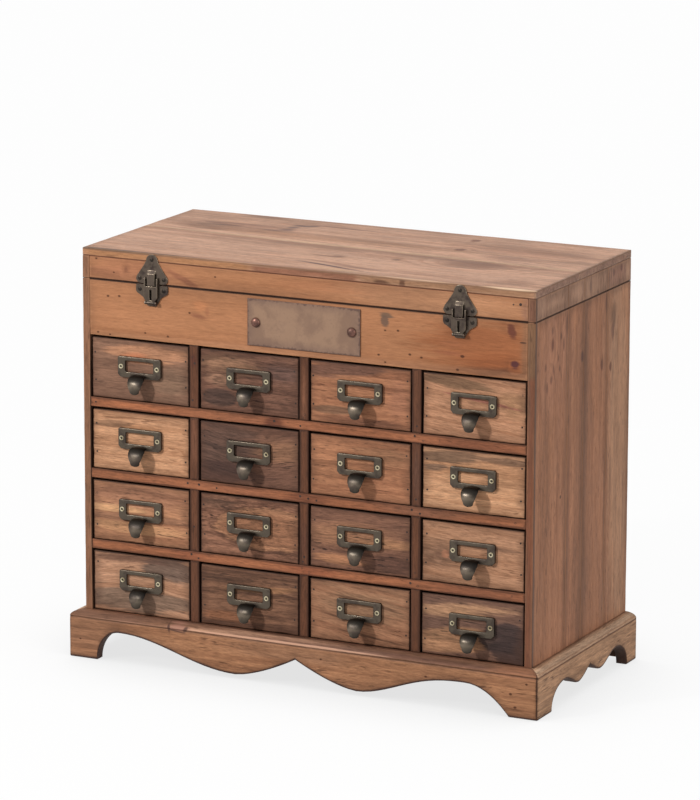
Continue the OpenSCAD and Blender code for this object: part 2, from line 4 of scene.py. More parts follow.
import bmesh
import bpy
import numpy as np
from mathutils import Matrix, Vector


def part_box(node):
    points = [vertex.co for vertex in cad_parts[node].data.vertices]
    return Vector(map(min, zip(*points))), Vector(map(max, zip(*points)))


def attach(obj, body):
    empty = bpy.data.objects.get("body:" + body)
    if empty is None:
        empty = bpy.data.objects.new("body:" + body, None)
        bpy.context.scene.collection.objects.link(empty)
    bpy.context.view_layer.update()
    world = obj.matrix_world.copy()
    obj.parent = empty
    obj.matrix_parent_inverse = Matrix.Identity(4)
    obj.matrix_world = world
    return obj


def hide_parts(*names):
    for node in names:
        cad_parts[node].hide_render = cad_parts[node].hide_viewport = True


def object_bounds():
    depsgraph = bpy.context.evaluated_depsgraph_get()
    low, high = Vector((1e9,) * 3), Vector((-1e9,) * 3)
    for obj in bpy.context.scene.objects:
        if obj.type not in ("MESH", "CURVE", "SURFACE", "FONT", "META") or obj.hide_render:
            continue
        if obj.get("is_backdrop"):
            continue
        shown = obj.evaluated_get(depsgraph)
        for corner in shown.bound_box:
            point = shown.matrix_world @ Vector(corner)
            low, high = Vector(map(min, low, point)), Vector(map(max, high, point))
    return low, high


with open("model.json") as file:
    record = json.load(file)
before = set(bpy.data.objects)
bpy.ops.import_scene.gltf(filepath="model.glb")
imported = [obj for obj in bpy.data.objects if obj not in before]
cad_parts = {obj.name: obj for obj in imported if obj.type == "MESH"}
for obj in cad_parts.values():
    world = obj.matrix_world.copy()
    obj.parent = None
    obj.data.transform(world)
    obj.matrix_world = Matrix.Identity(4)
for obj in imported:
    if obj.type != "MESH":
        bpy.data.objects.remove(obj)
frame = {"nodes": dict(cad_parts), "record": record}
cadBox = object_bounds()
nodes = frame["nodes"]
bodyOf = {name: body for body, names in frame["record"]["behaviour"]["bodies"].items() for name in names}
mm = 0.001
rows, columns = 4, 4
frontY, topZ, rightX = -114.85, 426.6, 250.0  # faces of the case and the top of the lid, in millimetres

# Kinds of face: the axis square to it, its own two axes, how its boards lie and where patterns start
faces = dict(
    front=dict(square=(0, -1, 0), axes=(0, 2), along=0, thick=1, origin=(0, frontY * mm, 0)),
    side=dict(square=(1, 0, 0), axes=(1, 2), along=2, thick=0, origin=(rightX * mm, 0, 0)),
    left=dict(square=(1, 0, 0), axes=(1, 2), along=2, thick=0, origin=(-rightX * mm, 0, 0)),
    top=dict(square=(0, 0, 1), axes=(0, 1), along=0, thick=2, origin=(0, 0, topZ * mm)),
)


def paint(red, green, blue):
    # 8-bit screen colour to the linear value that a socket takes
    return tuple(((c / 255 + 0.055) / 1.055) ** 2.4 for c in (red, green, blue)) + (1.0,)


# Node helpers: a value that is a socket is linked, anything else is set on the socket

def feed(tree, socket, value):
    # a link or a plain value, whichever the value is
    if isinstance(value, bpy.types.NodeSocket):
        tree.links.new(value, socket)
    else:
        socket.default_value = value


def addNode(tree, kind, takes, **settings):
    # a new node with its settings made and its inputs fed
    made = tree.nodes.new(kind)
    for name, value in settings.items():
        setattr(made, name, value)
    for key, value in takes.items():
        feed(tree, made.inputs[key], value)
    return made


def sums(tree, operation, *values):
    # one step of arithmetic
    return addNode(tree, "ShaderNodeMath", dict(enumerate(values)), operation=operation).outputs[0]


def times(tree, first, second):
    # first x second
    return sums(tree, "MULTIPLY", first, second)


def timesPlus(tree, value, factor, base):
    # value x factor + base
    return sums(tree, "MULTIPLY_ADD", value, factor, base)


def vectorSums(tree, operation, *values, result=0, **more):
    # one step of arithmetic with vectors
    takes = dict(enumerate(values))
    takes.update(more)
    return addNode(tree, "ShaderNodeVectorMath", takes, operation=operation).outputs[result]


def scaled(tree, vector, factor):
    # vector x factor
    return vectorSums(tree, "SCALE", vector, Scale=factor)


def smooth(tree, value, low, high, start=0.0, end=1.0):
    # an S-shaped step from start to end while value goes from low to high
    takes = {"Value": value, "From Min": low, "From Max": high, "To Min": start, "To Max": end}
    return addNode(tree, "ShaderNodeMapRange", takes, interpolation_type="SMOOTHSTEP").outputs[0]


def noise(tree, vector, stretch, detail=2.0, rough=0.5):
    # soft noise whose cells are as long along each axis as stretch is small
    at = vectorSums(tree, "MULTIPLY", vector, stretch)
    takes = {"Vector": at, "Scale": 1.0, "Detail": detail, "Roughness": rough}
    return addNode(tree, "ShaderNodeTexNoise", takes).outputs[0]


def blend(tree, factor, first, second):
    # first x (1 - factor) + second x factor
    made = addNode(tree, "ShaderNodeMix", {}, data_type="RGBA")
    for index, value in ((0, factor), (6, first), (7, second)):
        feed(tree, made.inputs[index], value)
    return made.outputs[2]


def split(tree, vector):
    # the three parts of a vector
    return addNode(tree, "ShaderNodeSeparateXYZ", {0: vector}).outputs


def attribute(tree, name):
    # a value that makePiece wrote at every point
    return addNode(tree, "ShaderNodeAttribute", {}, attribute_name=name).outputs


def objectCoords(tree):
    # place in the chest's own frame, in metres
    return addNode(tree, "ShaderNodeTexCoord", {}).outputs["Object"]


def newGroup(name, takes, gives):
    # an empty shader group with named sockets; gives back the tree, its inputs and its outputs
    tree = bpy.data.node_groups.new(name, "ShaderNodeTree")
    for way, sockets in (("INPUT", takes), ("OUTPUT", gives)):
        for label, kind in sockets.items():
            tree.interface.new_socket(name=label, in_out=way, socket_type="NodeSocket" + kind)
    return tree, tree.nodes.new("NodeGroupInput").outputs, tree.nodes.new("NodeGroupOutput").inputs


def useGroup(tree, group, takes):
    # a group placed in a tree with its inputs fed
    made = tree.nodes.new("ShaderNodeGroup")
    made.node_tree = group
    for key, value in takes.items():
        feed(tree, made.inputs[key], value)
    return made.outputs


def newMaterial(name):
    # a material with its tree and its Principled shader
    material = bpy.data.materials.new(name)
    material.use_nodes = True
    return material, material.node_tree, material.node_tree.nodes["Principled BSDF"]


def dress(tree, shader, colour, rough, height, strength, depth):
    # colour, roughness and a bump of the height, strength and depth given
    feed(tree, shader.inputs["Base Color"], colour)
    feed(tree, shader.inputs["Roughness"], rough)
    bump = addNode(tree, "ShaderNodeBump", {"Height": height, "Strength": strength, "Distance": depth})
    feed(tree, shader.inputs["Normal"], bump.outputs[0])


# Wood: groups that every timber material shares

def makeFlowGroup():
    # slow noise drawn out along the grain: it bends the rings and frays the stains
    clouds = {"Slow": "Float", "Quick": "Float", "Fine": "Float"}
    tree, takes, gives = newGroup("woodFlow", {"Grain": "Vector"}, clouds)
    for label, along, across in (("Slow", 4.0, 34.0), ("Quick", 16.0, 190.0), ("Fine", 22.0, 520.0)):
        cloud = noise(tree, takes["Grain"], (along, across, across), 3.0)
        feed(tree, gives[label], sums(tree, "SUBTRACT", cloud, 0.5))
    return tree


def makeGrainGroup():
    # year rings are cylinders round the heart of the tree, so a ring's number is the distance from
    # that line times rings per metre; each ring darkens slowly and ends at once, as pine does
    kinds = {"Grain": "Vector", "Slow": "Float", "Quick": "Float", "Bend": "Float", "Light": "Color",
             "Dark": "Color"}
    kinds.update({label: "Float" for label in figures})
    tree, takes, gives = newGroup("woodGrain", kinds, {"Color": "Color", "Height": "Float"})
    across = vectorSums(tree, "MULTIPLY", takes["Grain"], (0.0, 1.0, 1.0))
    distance = vectorSums(tree, "LENGTH", across, result=1)
    waver = times(tree, sums(tree, "ADD", takes["Slow"], times(tree, takes["Quick"], 0.3)), takes["Wander"])
    ring = sums(tree, "ADD", times(tree, distance, takes["Rings"]), sums(tree, "ADD", waver, takes["Bend"]))
    part = sums(tree, "FRACT", ring)
    line = times(tree, smooth(tree, part, 0.3, 0.9), smooth(tree, part, 0.9, 1.0, 1.0, 0.0))
    number = {"W": sums(tree, "FLOOR", ring)}
    year = addNode(tree, "ShaderNodeTexWhiteNoise", number, noise_dimensions="1D").outputs[0]
    late = times(tree, line, times(tree, takes["Lines"], timesPlus(tree, year, 0.7, 0.3)))
    colour = blend(tree, late, takes["Light"], takes["Dark"])
    bent = vectorSums(tree, "ADD", takes["Grain"], scaled(tree, (0.0, 0.016, 0.016), takes["Slow"]))
    streak = smooth(tree, noise(tree, bent, (12.0, 180.0, 180.0), 4.0, 0.62), 0.47, 0.68)
    colour = blend(tree, times(tree, streak, takes["Streaks"]), colour, takes["Dark"])
    # short dark strokes and pale fibres, both drawn out along the grain
    stroke = smooth(tree, noise(tree, bent, (62.0, 480.0, 480.0), 2.0, 0.6), 0.58, 0.7)
    patchy = smooth(tree, noise(tree, bent, (14.0, 70.0, 70.0), 2.0, 0.5), 0.38, 0.62)
    stroke = times(tree, stroke, times(tree, patchy, takes["Strokes"]))
    colour = blend(tree, stroke, colour, scaled(tree, takes["Dark"], 0.6))
    fibre = sums(tree, "SUBTRACT", 0.5, noise(tree, bent, (100.0, 760.0, 760.0), 4.0, 0.7))
    drift = sums(tree, "SUBTRACT", noise(tree, takes["Grain"], (9.0, 40.0, 40.0), 3.0), 0.5)
    level = sums(tree, "ADD", timesPlus(tree, fibre, takes["Fibre"], 1.0), times(tree, drift, 0.55))
    feed(tree, gives["Color"], scaled(tree, colour, level))
    rough = sums(tree, "ADD", times(tree, late, 0.5), times(tree, stroke, -0.8))
    feed(tree, gives["Height"], timesPlus(tree, fibre, -1.0, rough))
    return tree


def makeEdgeGroup():
    # distance to the nearest edge of a board is the middle one of the three distances to its faces
    kinds = {"Low": "Vector", "High": "Vector", "Slow": "Float", "Quick": "Float"}
    tree, takes, gives = newGroup("boardEdges", kinds, {"Edge": "Float", "Near": "Float"})
    x, y, z = split(tree, vectorSums(tree, "MINIMUM", takes["Low"], takes["High"]))
    smaller, larger = sums(tree, "MINIMUM", x, y), sums(tree, "MAXIMUM", x, y)
    middle = sums(tree, "MAXIMUM", smaller, sums(tree, "MINIMUM", larger, z))
    worn = timesPlus(tree, takes["Quick"], 0.006, middle)
    dirty = timesPlus(tree, takes["Slow"], 0.02, middle)
    feed(tree, gives["Edge"], smooth(tree, worn, 0.0006, 0.0022, 1.0, 0.0))
    feed(tree, gives["Near"], smooth(tree, dirty, 0.0, 0.011, 1.0, 0.0))
    return tree


figures = ("Rings", "Wander", "Lines", "Streaks", "Strokes", "Fibre")
flowGroup, grainGroup, edgeGroup = makeFlowGroup(), makeGrainGroup(), makeEdgeGroup()
endless = 100000.0


def stain(x, z, wide, high, colour, strength=0.8, soft=0.6, turn=0, ragged=1.8, deep=endless, face=None,
          late=False):
    # a ragged patch of another colour: its middle and its half sizes in millimetres on its board's face;
    # a late one lies over the dirt and the worn edges
    return dict(at=(x, z), size=(wide, high), colour=colour, strength=strength, soft=soft, turn=turn,
                ragged=ragged, deep=deep, face=face, late=late)


def band(x, z, wide, high, colour, strength=0.8, soft=0.25, turn=0, ragged=1.8):
    # a stain with a sharper edge, as on the drawers, measured from the middle of the front
    return stain(x, z, wide, high, colour, strength, soft, turn, ragged)


def knot(x, z, wide, high, colour, strength=0.85, turn=0, swell=0.8):
    # a dark core that the rings swell round
    return dict(at=(x, z), size=(wide, high), colour=colour, strength=strength, turn=turn, swell=swell,
                ragged=0.4, deep=endless)


def spotMask(tree, face, centre, spot, flow):
    # distance from a spot's middle in units of its half sizes, frayed by the grain's flow
    place, scale = list(centre), [spot["deep"] * mm] * 3
    for axis, where, half in zip(faces[face]["axes"], spot["at"], spot["size"]):
        place[axis] = where * mm + centre[axis]
        scale[axis] = half * mm
    rotation = tuple(a * math.radians(spot["turn"]) for a in faces[face]["square"])
    takes = {"Vector": objectCoords(tree), "Location": place, "Rotation": rotation, "Scale": scale}
    local = addNode(tree, "ShaderNodeMapping", takes, vector_type="TEXTURE").outputs[0]
    return timesPlus(tree, flow, spot["ragged"], vectorSums(tree, "LENGTH", local, result=1))


def timber(name, look, face="front", centre=(0, 0, 0), stains=(), knots=(), tint=(1, 1, 1)):
    # rings between two tones that the stains change, then knots, dirt near the edges, worn edges (dark
    # painted shade on some timbers), the late stains and, where the timber has one, a dark rim and mouth,
    # which are painted shade, or a darker band along the bottom edge (sole)
    material, tree, shader = newMaterial(name)
    grain, low, high = (attribute(tree, key)["Vector"] for key in ("grain", "low", "high"))
    slow, quick, fine = useGroup(tree, flowGroup, {"Grain": grain})

    def tinted(colour, shade=1.0):
        # a colour in the board's own tint
        return paint(*(c * t * shade for c, t in zip(colour, tint)))

    light, dark = tinted(look["light"]), tinted(look["dark"])
    over = []
    for spot in stains:
        own = spot["face"] or face
        far = spotMask(tree, own, centre if own == face else faces[own]["origin"], spot, slow)
        far = timesPlus(tree, quick, spot["ragged"] * 0.6, far)
        far = timesPlus(tree, fine, spot["ragged"] * 0.7, far)
        mask = smooth(tree, far, 1 - spot["soft"], 1 + spot["soft"], spot["strength"], 0.0)
        if spot["late"]:
            over.append((mask, spot["colour"]))
        else:
            light = blend(tree, mask, light, tinted(spot["colour"]))
            dark = blend(tree, mask, dark, tinted(spot["colour"], 0.62))
    if "spots" in look:
        cloud = noise(tree, grain, (70.0, 330.0, 330.0), 3.0, 0.55)
        spotted = smooth(tree, cloud, 0.6, 0.7, 0.0, look["spots"])
        deeper = blend(tree, 0.15, dark, (0, 0, 0, 1))
        light, dark = blend(tree, spotted, light, deeper), blend(tree, spotted, dark, deeper)
    bend, cores = 0.0, []
    for spot in knots:
        far = spotMask(tree, face, centre, spot, slow)
        bend = sums(tree, "ADD", bend, smooth(tree, far, 0.6, 4.0, spot["swell"], 0.0))
        core = smooth(tree, timesPlus(tree, fine, 1.4, far), 0.6, 1.25, spot["strength"], 0.0)
        cores.append((core, spot["colour"]))
    takes = {"Grain": grain, "Slow": slow, "Quick": quick, "Bend": bend, "Light": light, "Dark": dark}
    takes.update({key: look[key.lower()] for key in figures})
    colour, height = useGroup(tree, grainGroup, takes)
    for mask, core in cores:
        colour = blend(tree, mask, colour, tinted(core))
    edge, near = useGroup(tree, edgeGroup, {"Low": low, "High": high, "Slow": slow, "Quick": quick})
    colour = blend(tree, times(tree, near, look["dirt"]), colour, paint(78, 52, 40))
    # worn edges: pale wear on most timbers; on drawer fronts, rails and uprights the colour is dark, painted
    # shade of the gaps
    colour = blend(tree, times(tree, edge, look["wear"]), colour, paint(*look["worn"]))
    for mask, top in over:
        colour = blend(tree, mask, colour, paint(*top))
    # painted shade: a dark line along the left, right and top edges of a drawer front, where the gap round it
    # is
    if "rim" in look:
        left, (right, _, upper) = split(tree, low)[0], split(tree, high)
        nearest = sums(tree, "MINIMUM", left, sums(tree, "MINIMUM", right, upper))
        nearest = timesPlus(tree, quick, 0.0012, nearest)
        colour = blend(tree, smooth(tree, nearest, 0.0004, 0.0014, 0.85, 0.0), colour, paint(*look["rim"]))
    # painted shade: near-black on the faces just behind the front of an opening
    if "mouth" in look:
        inside = split(tree, low)[1]
        dirt = smooth(tree, inside, 0.006, 0.02, 1.0, 0.25)
        dirt = times(tree, smooth(tree, inside, 0.0003, 0.0013, 0.0, 0.9), dirt)
        colour = blend(tree, dirt, colour, paint(*look["mouth"]))
    # darker along the bottom edge of the board
    if "sole" in look:
        rise = timesPlus(tree, quick, 0.003, split(tree, low)[2])
        colour = blend(tree, smooth(tree, rise, 0.0012, 0.0030, 0.9, 0.0), colour, paint(*look["sole"]))
    shader.inputs["Specular IOR Level"].default_value = 0.2
    colour = scaled(tree, colour, attribute(tree, "tone")["Fac"])
    dress(tree, shader, colour, timesPlus(tree, quick, 0.25, look["rough"]), height, 0.5, 0.5 * mm)
    return material


# Metal: one group for the brown and green bloom of old bronze and brass

def makeBloomGroup():
    # two clouds of noise choose among three tones, and the rougher spots are the browner ones
    kinds = {"Vector": "Vector", "Base": "Color", "Brown": "Color", "Green": "Color", "Rough": "Float"}
    results = {"Color": "Color", "Rough": "Float", "Height": "Float"}
    tree, takes, gives = newGroup("metalBloom", kinds, results)
    broad = noise(tree, takes["Vector"], (90.0, 90.0, 90.0), 3.0, 0.6)
    small = noise(tree, takes["Vector"], (600.0, 600.0, 600.0), 3.0, 0.6)
    colour = blend(tree, smooth(tree, broad, 0.45, 0.65), takes["Base"], takes["Brown"])
    colour = blend(tree, smooth(tree, small, 0.5, 0.72, 0.0, 0.6), colour, takes["Green"])
    feed(tree, gives["Color"], colour)
    feed(tree, gives["Rough"], timesPlus(tree, sums(tree, "SUBTRACT", broad, 0.5), 0.5, takes["Rough"]))
    feed(tree, gives["Height"], small)
    return tree


bloomGroup = makeBloomGroup()


def metal(name, base, brown, green, rough, metallic, toned=False):
    # old metal in three tones; a toned one is scaled by the piece's tone: painted shade and a painted
    # highlight on the pulls, painted shade on the levers' lower lips, and dark screw heads
    material, tree, shader = newMaterial(name)
    takes = {"Vector": objectCoords(tree), "Base": paint(*base), "Brown": paint(*brown),
             "Green": paint(*green), "Rough": rough}
    colour, roughness, height = useGroup(tree, bloomGroup, takes)
    if toned:
        colour = scaled(tree, colour, attribute(tree, "tone")["Fac"])
    shader.inputs["Metallic"].default_value = metallic
    dress(tree, shader, colour, roughness, height, 0.25, 0.2 * mm)
    return material


# Meshes: a part is a dictionary of arrays, and several parts make one piece

def softNoise(points, seed, size):
    # a sum of sixteen sine waves in random directions, about one wave per size, from -1 to 1
    draw = np.random.default_rng(seed)
    waves = draw.normal(size=(3, 16)) * (2 * math.pi / size) * 0.6
    return np.sin(points @ waves + draw.uniform(0, 2 * math.pi, 16)).sum(1) / 6.0


def gridLines(low, high, radius, step):
    # places along an edge: three within the rounding at each end, evenly spread between
    ends = np.array([0.0, 0.35, 1.0, 1.8]) * radius
    count = max(2, int(math.ceil((high - low - 2 * ends[3]) / step)) + 1)
    between = np.linspace(low + ends[3], high - ends[3], count)
    return np.concatenate([low + ends[:3], between, high - ends[2::-1]])


def gridFaces(ids, flip=False):
    # quads between neighbouring rows and columns of a grid of point numbers
    quads = np.stack([ids[:-1, :-1], ids[1:, :-1], ids[1:, 1:], ids[:-1, 1:]], -1).reshape(-1, 4)
    return quads[:, ::-1] if flip else quads


def boardPart(low, high, along, thick, seed, radius=0.8 * mm, step=6 * mm, wear=0.5, wobble=0.12 * mm,
              heart=None, tilt=0.0, tone=1.0, slotIndex=0):
    # a rounded box: each point of a lattice on the box's skin is set one radius away from the nearest
    # point of the box shrunk by that radius, and the radius grows and shrinks along the worn edges
    low, high = np.array(low, float), np.array(high, float)
    lines = [gridLines(low[k], high[k], radius, step) for k in range(3)]
    count = [len(line) for line in lines]
    skins = []
    for axis in range(3):
        a, b = (axis + 1) % 3, (axis + 2) % 3
        ia, ib = np.meshgrid(np.arange(count[a]), np.arange(count[b]), indexing="ij")
        for end in (0, count[axis] - 1):
            index = [None, None, None]
            index[axis], index[a], index[b] = np.full_like(ia, end), ia, ib
            ids = (index[0] * count[1] + index[1]) * count[2] + index[2]
            skins.append(gridFaces(ids, end == 0))
    used, quads = np.unique(np.concatenate(skins).ravel(), return_inverse=True)
    i, j, k = used // (count[1] * count[2]), used // count[2] % count[1], used % count[2]
    skin = np.stack([lines[0][i], lines[1][j], lines[2][k]], -1)
    uneven = softNoise(skin, seed, 0.02) + 0.3 * softNoise(skin, seed + 1, 0.006)
    local = radius * (1 + wear * np.clip(uneven, -0.7, 1.4))[:, None]
    inner = np.clip(skin, low + local, high - local)
    out = skin - inner
    out /= np.maximum(np.linalg.norm(out, axis=1, keepdims=True), 1e-9)
    sunk = np.clip(softNoise(skin, seed + 2, 0.07)[:, None], -1, 1) - 1
    points = inner + out * local + out * sunk * wobble * 0.5
    # the grain runs along the board, and its other two axes are measured from the heart of the tree
    width = 3 - along - thick
    middle = (low + high) / 2
    draw = np.random.default_rng(seed + 7)
    heart = heart or (draw.uniform(-0.6, 0.6) * (high - low)[width] / mm, draw.uniform(22, 60))
    run = points[:, along] - middle[along]
    shift = draw.uniform(-3, 3)
    across = points[:, width] - middle[width] - heart[0] * mm + draw.uniform(-0.001, 0.001)
    grain = np.stack([run + shift, across, points[:, thick] - middle[thick] + heart[1] * mm + tilt * run], -1)
    return {"points": points, "faces": quads.reshape(-1, 4).tolist(), "grain": grain, "low": points - low,
            "high": high - points, "tone": np.full(len(points), tone), "slot": slotIndex}


def sweepPart(rings, slotIndex=0, closedAlong=False):
    # a skin through equal closed rings of points; the ends are closed by a centre point
    rings = np.asarray(rings, float)
    rowCount, around = rings.shape[:2]
    ids = np.arange(rowCount * around).reshape(rowCount, around)
    ids = np.concatenate([ids, ids[:, :1]], 1)
    if closedAlong:
        ids = np.concatenate([ids, ids[:1]], 0)
    skin = gridFaces(ids).tolist()
    points = rings.reshape(-1, 3)
    if not closedAlong:
        first, last = len(points), len(points) + 1
        points = np.concatenate([points, rings[0].mean(0)[None], rings[-1].mean(0)[None]])
        start, end = ids[0].tolist(), ids[-1].tolist()
        skin += [[first, start[k], start[k + 1]] for k in range(around)]
        skin += [[last, end[k + 1], end[k]] for k in range(around)]
    count = len(points)
    inside = np.full((count, 3), 0.01)  # metal has no board edges near
    return {"points": points, "faces": skin, "grain": np.zeros((count, 3)), "low": inside, "high": inside,
            "tone": np.ones(count), "slot": slotIndex}


def turnedPart(profile, centre, axis, slotIndex=0, around=20):
    # a profile of (radius, height) in millimetres turned round a line through centre along axis
    axis = np.array(axis, float)
    side = np.cross(axis, (0.3, 0.5, 0.8))
    side /= np.linalg.norm(side)
    angle = np.linspace(0, 2 * math.pi, around, endpoint=False)
    circle = np.cos(angle)[:, None] * side + np.sin(angle)[:, None] * np.cross(axis, side)
    rings = [np.array(centre) + circle * r * mm + axis * h * mm for r, h in profile]
    return sweepPart(rings, slotIndex)


def addObject(name, data):
    # a new object in the scene
    made = bpy.data.objects.new(name, data)
    bpy.context.scene.collection.objects.link(made)
    return made


def makePiece(name, parts, materials, node, outward=False):
    # joins the parts into one mesh with their grain and edge distances as attributes, and seats it on a body
    points, skin, slots, start = [], [], [], 0
    for part in parts:
        points.append(part["points"])
        skin += [[corner + start for corner in face] for face in part["faces"]]
        slots += [part["slot"]] * len(part["faces"])
        start += len(part["points"])
    mesh = bpy.data.meshes.new(name)
    mesh.from_pydata(np.concatenate(points).tolist(), [], skin)
    for key, kind, field in (("grain", "FLOAT_VECTOR", "vector"), ("low", "FLOAT_VECTOR", "vector"),
                             ("high", "FLOAT_VECTOR", "vector"), ("tone", "FLOAT", "value")):
        values = np.concatenate([part[key] for part in parts]).astype(np.float32).ravel()
        mesh.attributes.new(key, kind, "POINT").data.foreach_set(field, values)
    for material in materials:
        mesh.materials.append(material)
    mesh.polygons.foreach_set("material_index", slots)
    mesh.polygons.foreach_set("use_smooth", [True] * len(skin))
    if outward:
        shape = bmesh.new()
        shape.from_mesh(mesh)
        bmesh.ops.recalc_face_normals(shape, faces=shape.faces)
        shape.to_mesh(mesh)
        shape.free()
    mesh.validate()
    piece = addObject(name, mesh)
    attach(piece, bodyOf[node])
    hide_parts(node)


def meshPoints(mesh):
    # the vertices of a mesh as one array
    flat = np.zeros(len(mesh.vertices) * 3)
    mesh.vertices.foreach_get("co", flat)
    return flat.reshape(-1, 3)


def solidBoxes(node):
    # lowest and highest corners of each separate solid of a node: points that share a triangle get one
    # label, and labels spread until they stop changing
    mesh = nodes[node].data
    points = meshPoints(mesh)
    merged = np.unique(np.round(points / 1e-6).astype(np.int64), axis=0, return_inverse=True)[1].ravel()
    mesh.calc_loop_triangles()
    triangles = np.zeros(len(mesh.loop_triangles) * 3, np.int32)
    mesh.loop_triangles.foreach_get("vertices", triangles)
    triangles = merged[triangles].reshape(-1, 3)
    label, spread = None, np.arange(merged.max() + 1)
    while label is None or (spread != label).any():
        label = spread
        spread = label.copy()
        lowest = label[triangles].min(1)
        for corner in range(3):
            np.minimum.at(spread, triangles[:, corner], lowest)
    solids = [points[label[merged] == value] for value in np.unique(label[merged])]
    return [(own.min(0), own.max(0)) for own in solids]


def boxOf(node):
    # lowest and highest corners of a whole node
    return tuple(np.array(corner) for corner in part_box(node))


def nailPart(centre, slotIndex, radius=0.9):
    # the head of a wire nail in a front, set a little below its punched rim
    profile = [(radius * 1.1, -0.3), (radius * 1.05, 0.05), (radius * 0.9, 0.08), (radius * 0.7, -0.05)]
    return turnedPart(profile, centre, forward, slotIndex, 10)


forward = (0, -1, 0)
darkNail = metal("darkNail", (52, 36, 30), (40, 27, 22), (60, 46, 38), 0.7, 0.2)


def wood(light, dark, rings, wander, lines, streaks, strokes, fibre, **more):
    # a kind of timber: the two tones of its rings, rings per metre, and how much each figure shows
    usual = dict(dirt=0.25, wear=0.3, worn=(205, 152, 112), rough=0.62)
    return dict(usual, light=light, dark=dark, rings=rings, wander=wander, lines=lines, streaks=streaks,
                strokes=strokes, fibre=fibre, **more)


def oldFront(*tones, dirt=0.4):
    # drawer fronts share dark edges and a dark rim where they meet the opening, both painted shade of the gap
    # round each front
    return wood(*tones, rim=(46, 29, 22), dirt=dirt, wear=0.4, worn=(88, 58, 42))


# Timbers by what they look like
# near-black painted shade for the faces just inside the openings
mouth = (24, 14, 10)
timbers = dict(
    honey=oldFront((205, 158, 118), (150, 104, 70), 170, 1.6, 0.5, 0.4, 0.7, 1.7),
    orange=oldFront((180, 128, 94), (128, 82, 58), 140, 1.8, 0.5, 0.45, 0.84, 1.7),
    mauve=oldFront((150, 116, 96), (106, 78, 64), 110, 1.8, 0.4, 0.4, 0.56, 1.6),
    brown=oldFront((140, 104, 84), (74, 50, 40), 150, 2.6, 0.6, 0.7, 1.0, 2.3, dirt=0.45),
    umber=oldFront((122, 92, 78), (70, 50, 44), 120, 2.2, 0.5, 0.6, 0.98, 2.1, dirt=0.45),
    plain=wood((186, 148, 110), (150, 108, 76), 190, 1.5, 0.35, 0.15, 0.1, 0.6, dirt=0.15, wear=0.1),
    fascia=wood((175, 121, 85), (135, 86, 56), 90, 1.4, 0.35, 0.25, 0.25, 0.8, wear=0.15),
    top=wood((223, 178, 152), (176, 126, 98), 80, 1.6, 0.5, 0.5, 0.5, 1.3, spots=0.25, dirt=0.2,
             worn=(206, 170, 142), wear=0.25, rough=0.55),
    side=wood((181, 130, 100), (132, 89, 67), 110, 2.0, 0.35, 0.4, 0.5, 1.2, spots=0.6, dirt=0.4, wear=0.15),
    # rails and uprights: their dark edge colour and the near-black inside the openings are painted shade of
    # the gaps
    rail=wood((175, 111, 77), (110, 66, 41), 150, 1.5, 0.4, 0.5, 0.6, 1.8, spots=0.5, mouth=mouth,
              dirt=0.35, worn=(60, 36, 26), wear=0.6),
    upright=wood((107, 67, 46), (80, 47, 30), 150, 1.5, 0.4, 0.5, 0.6, 1.8, spots=0.6, mouth=mouth,
                 dirt=0.4, worn=(50, 30, 22), wear=0.6),
    plinth=wood((169, 121, 88), (120, 79, 56), 120, 1.8, 0.5, 0.5, 0.8, 1.6, spots=0.3, sole=(64, 46, 42),
                dirt=0.35, wear=0.0, rough=0.7),
    back=wood((168, 130, 98), (120, 86, 62), 100, 1.8, 0.5, 0.35, 0.4, 1.2, dirt=0.35),
    # dark timber for the hidden parts under the case: painted shade
    shade=wood((86, 62, 48), (56, 38, 28), 100, 1.8, 0.5, 0.35, 0.4, 1.2, dirt=0.4),
)

print("groups and helpers ready")

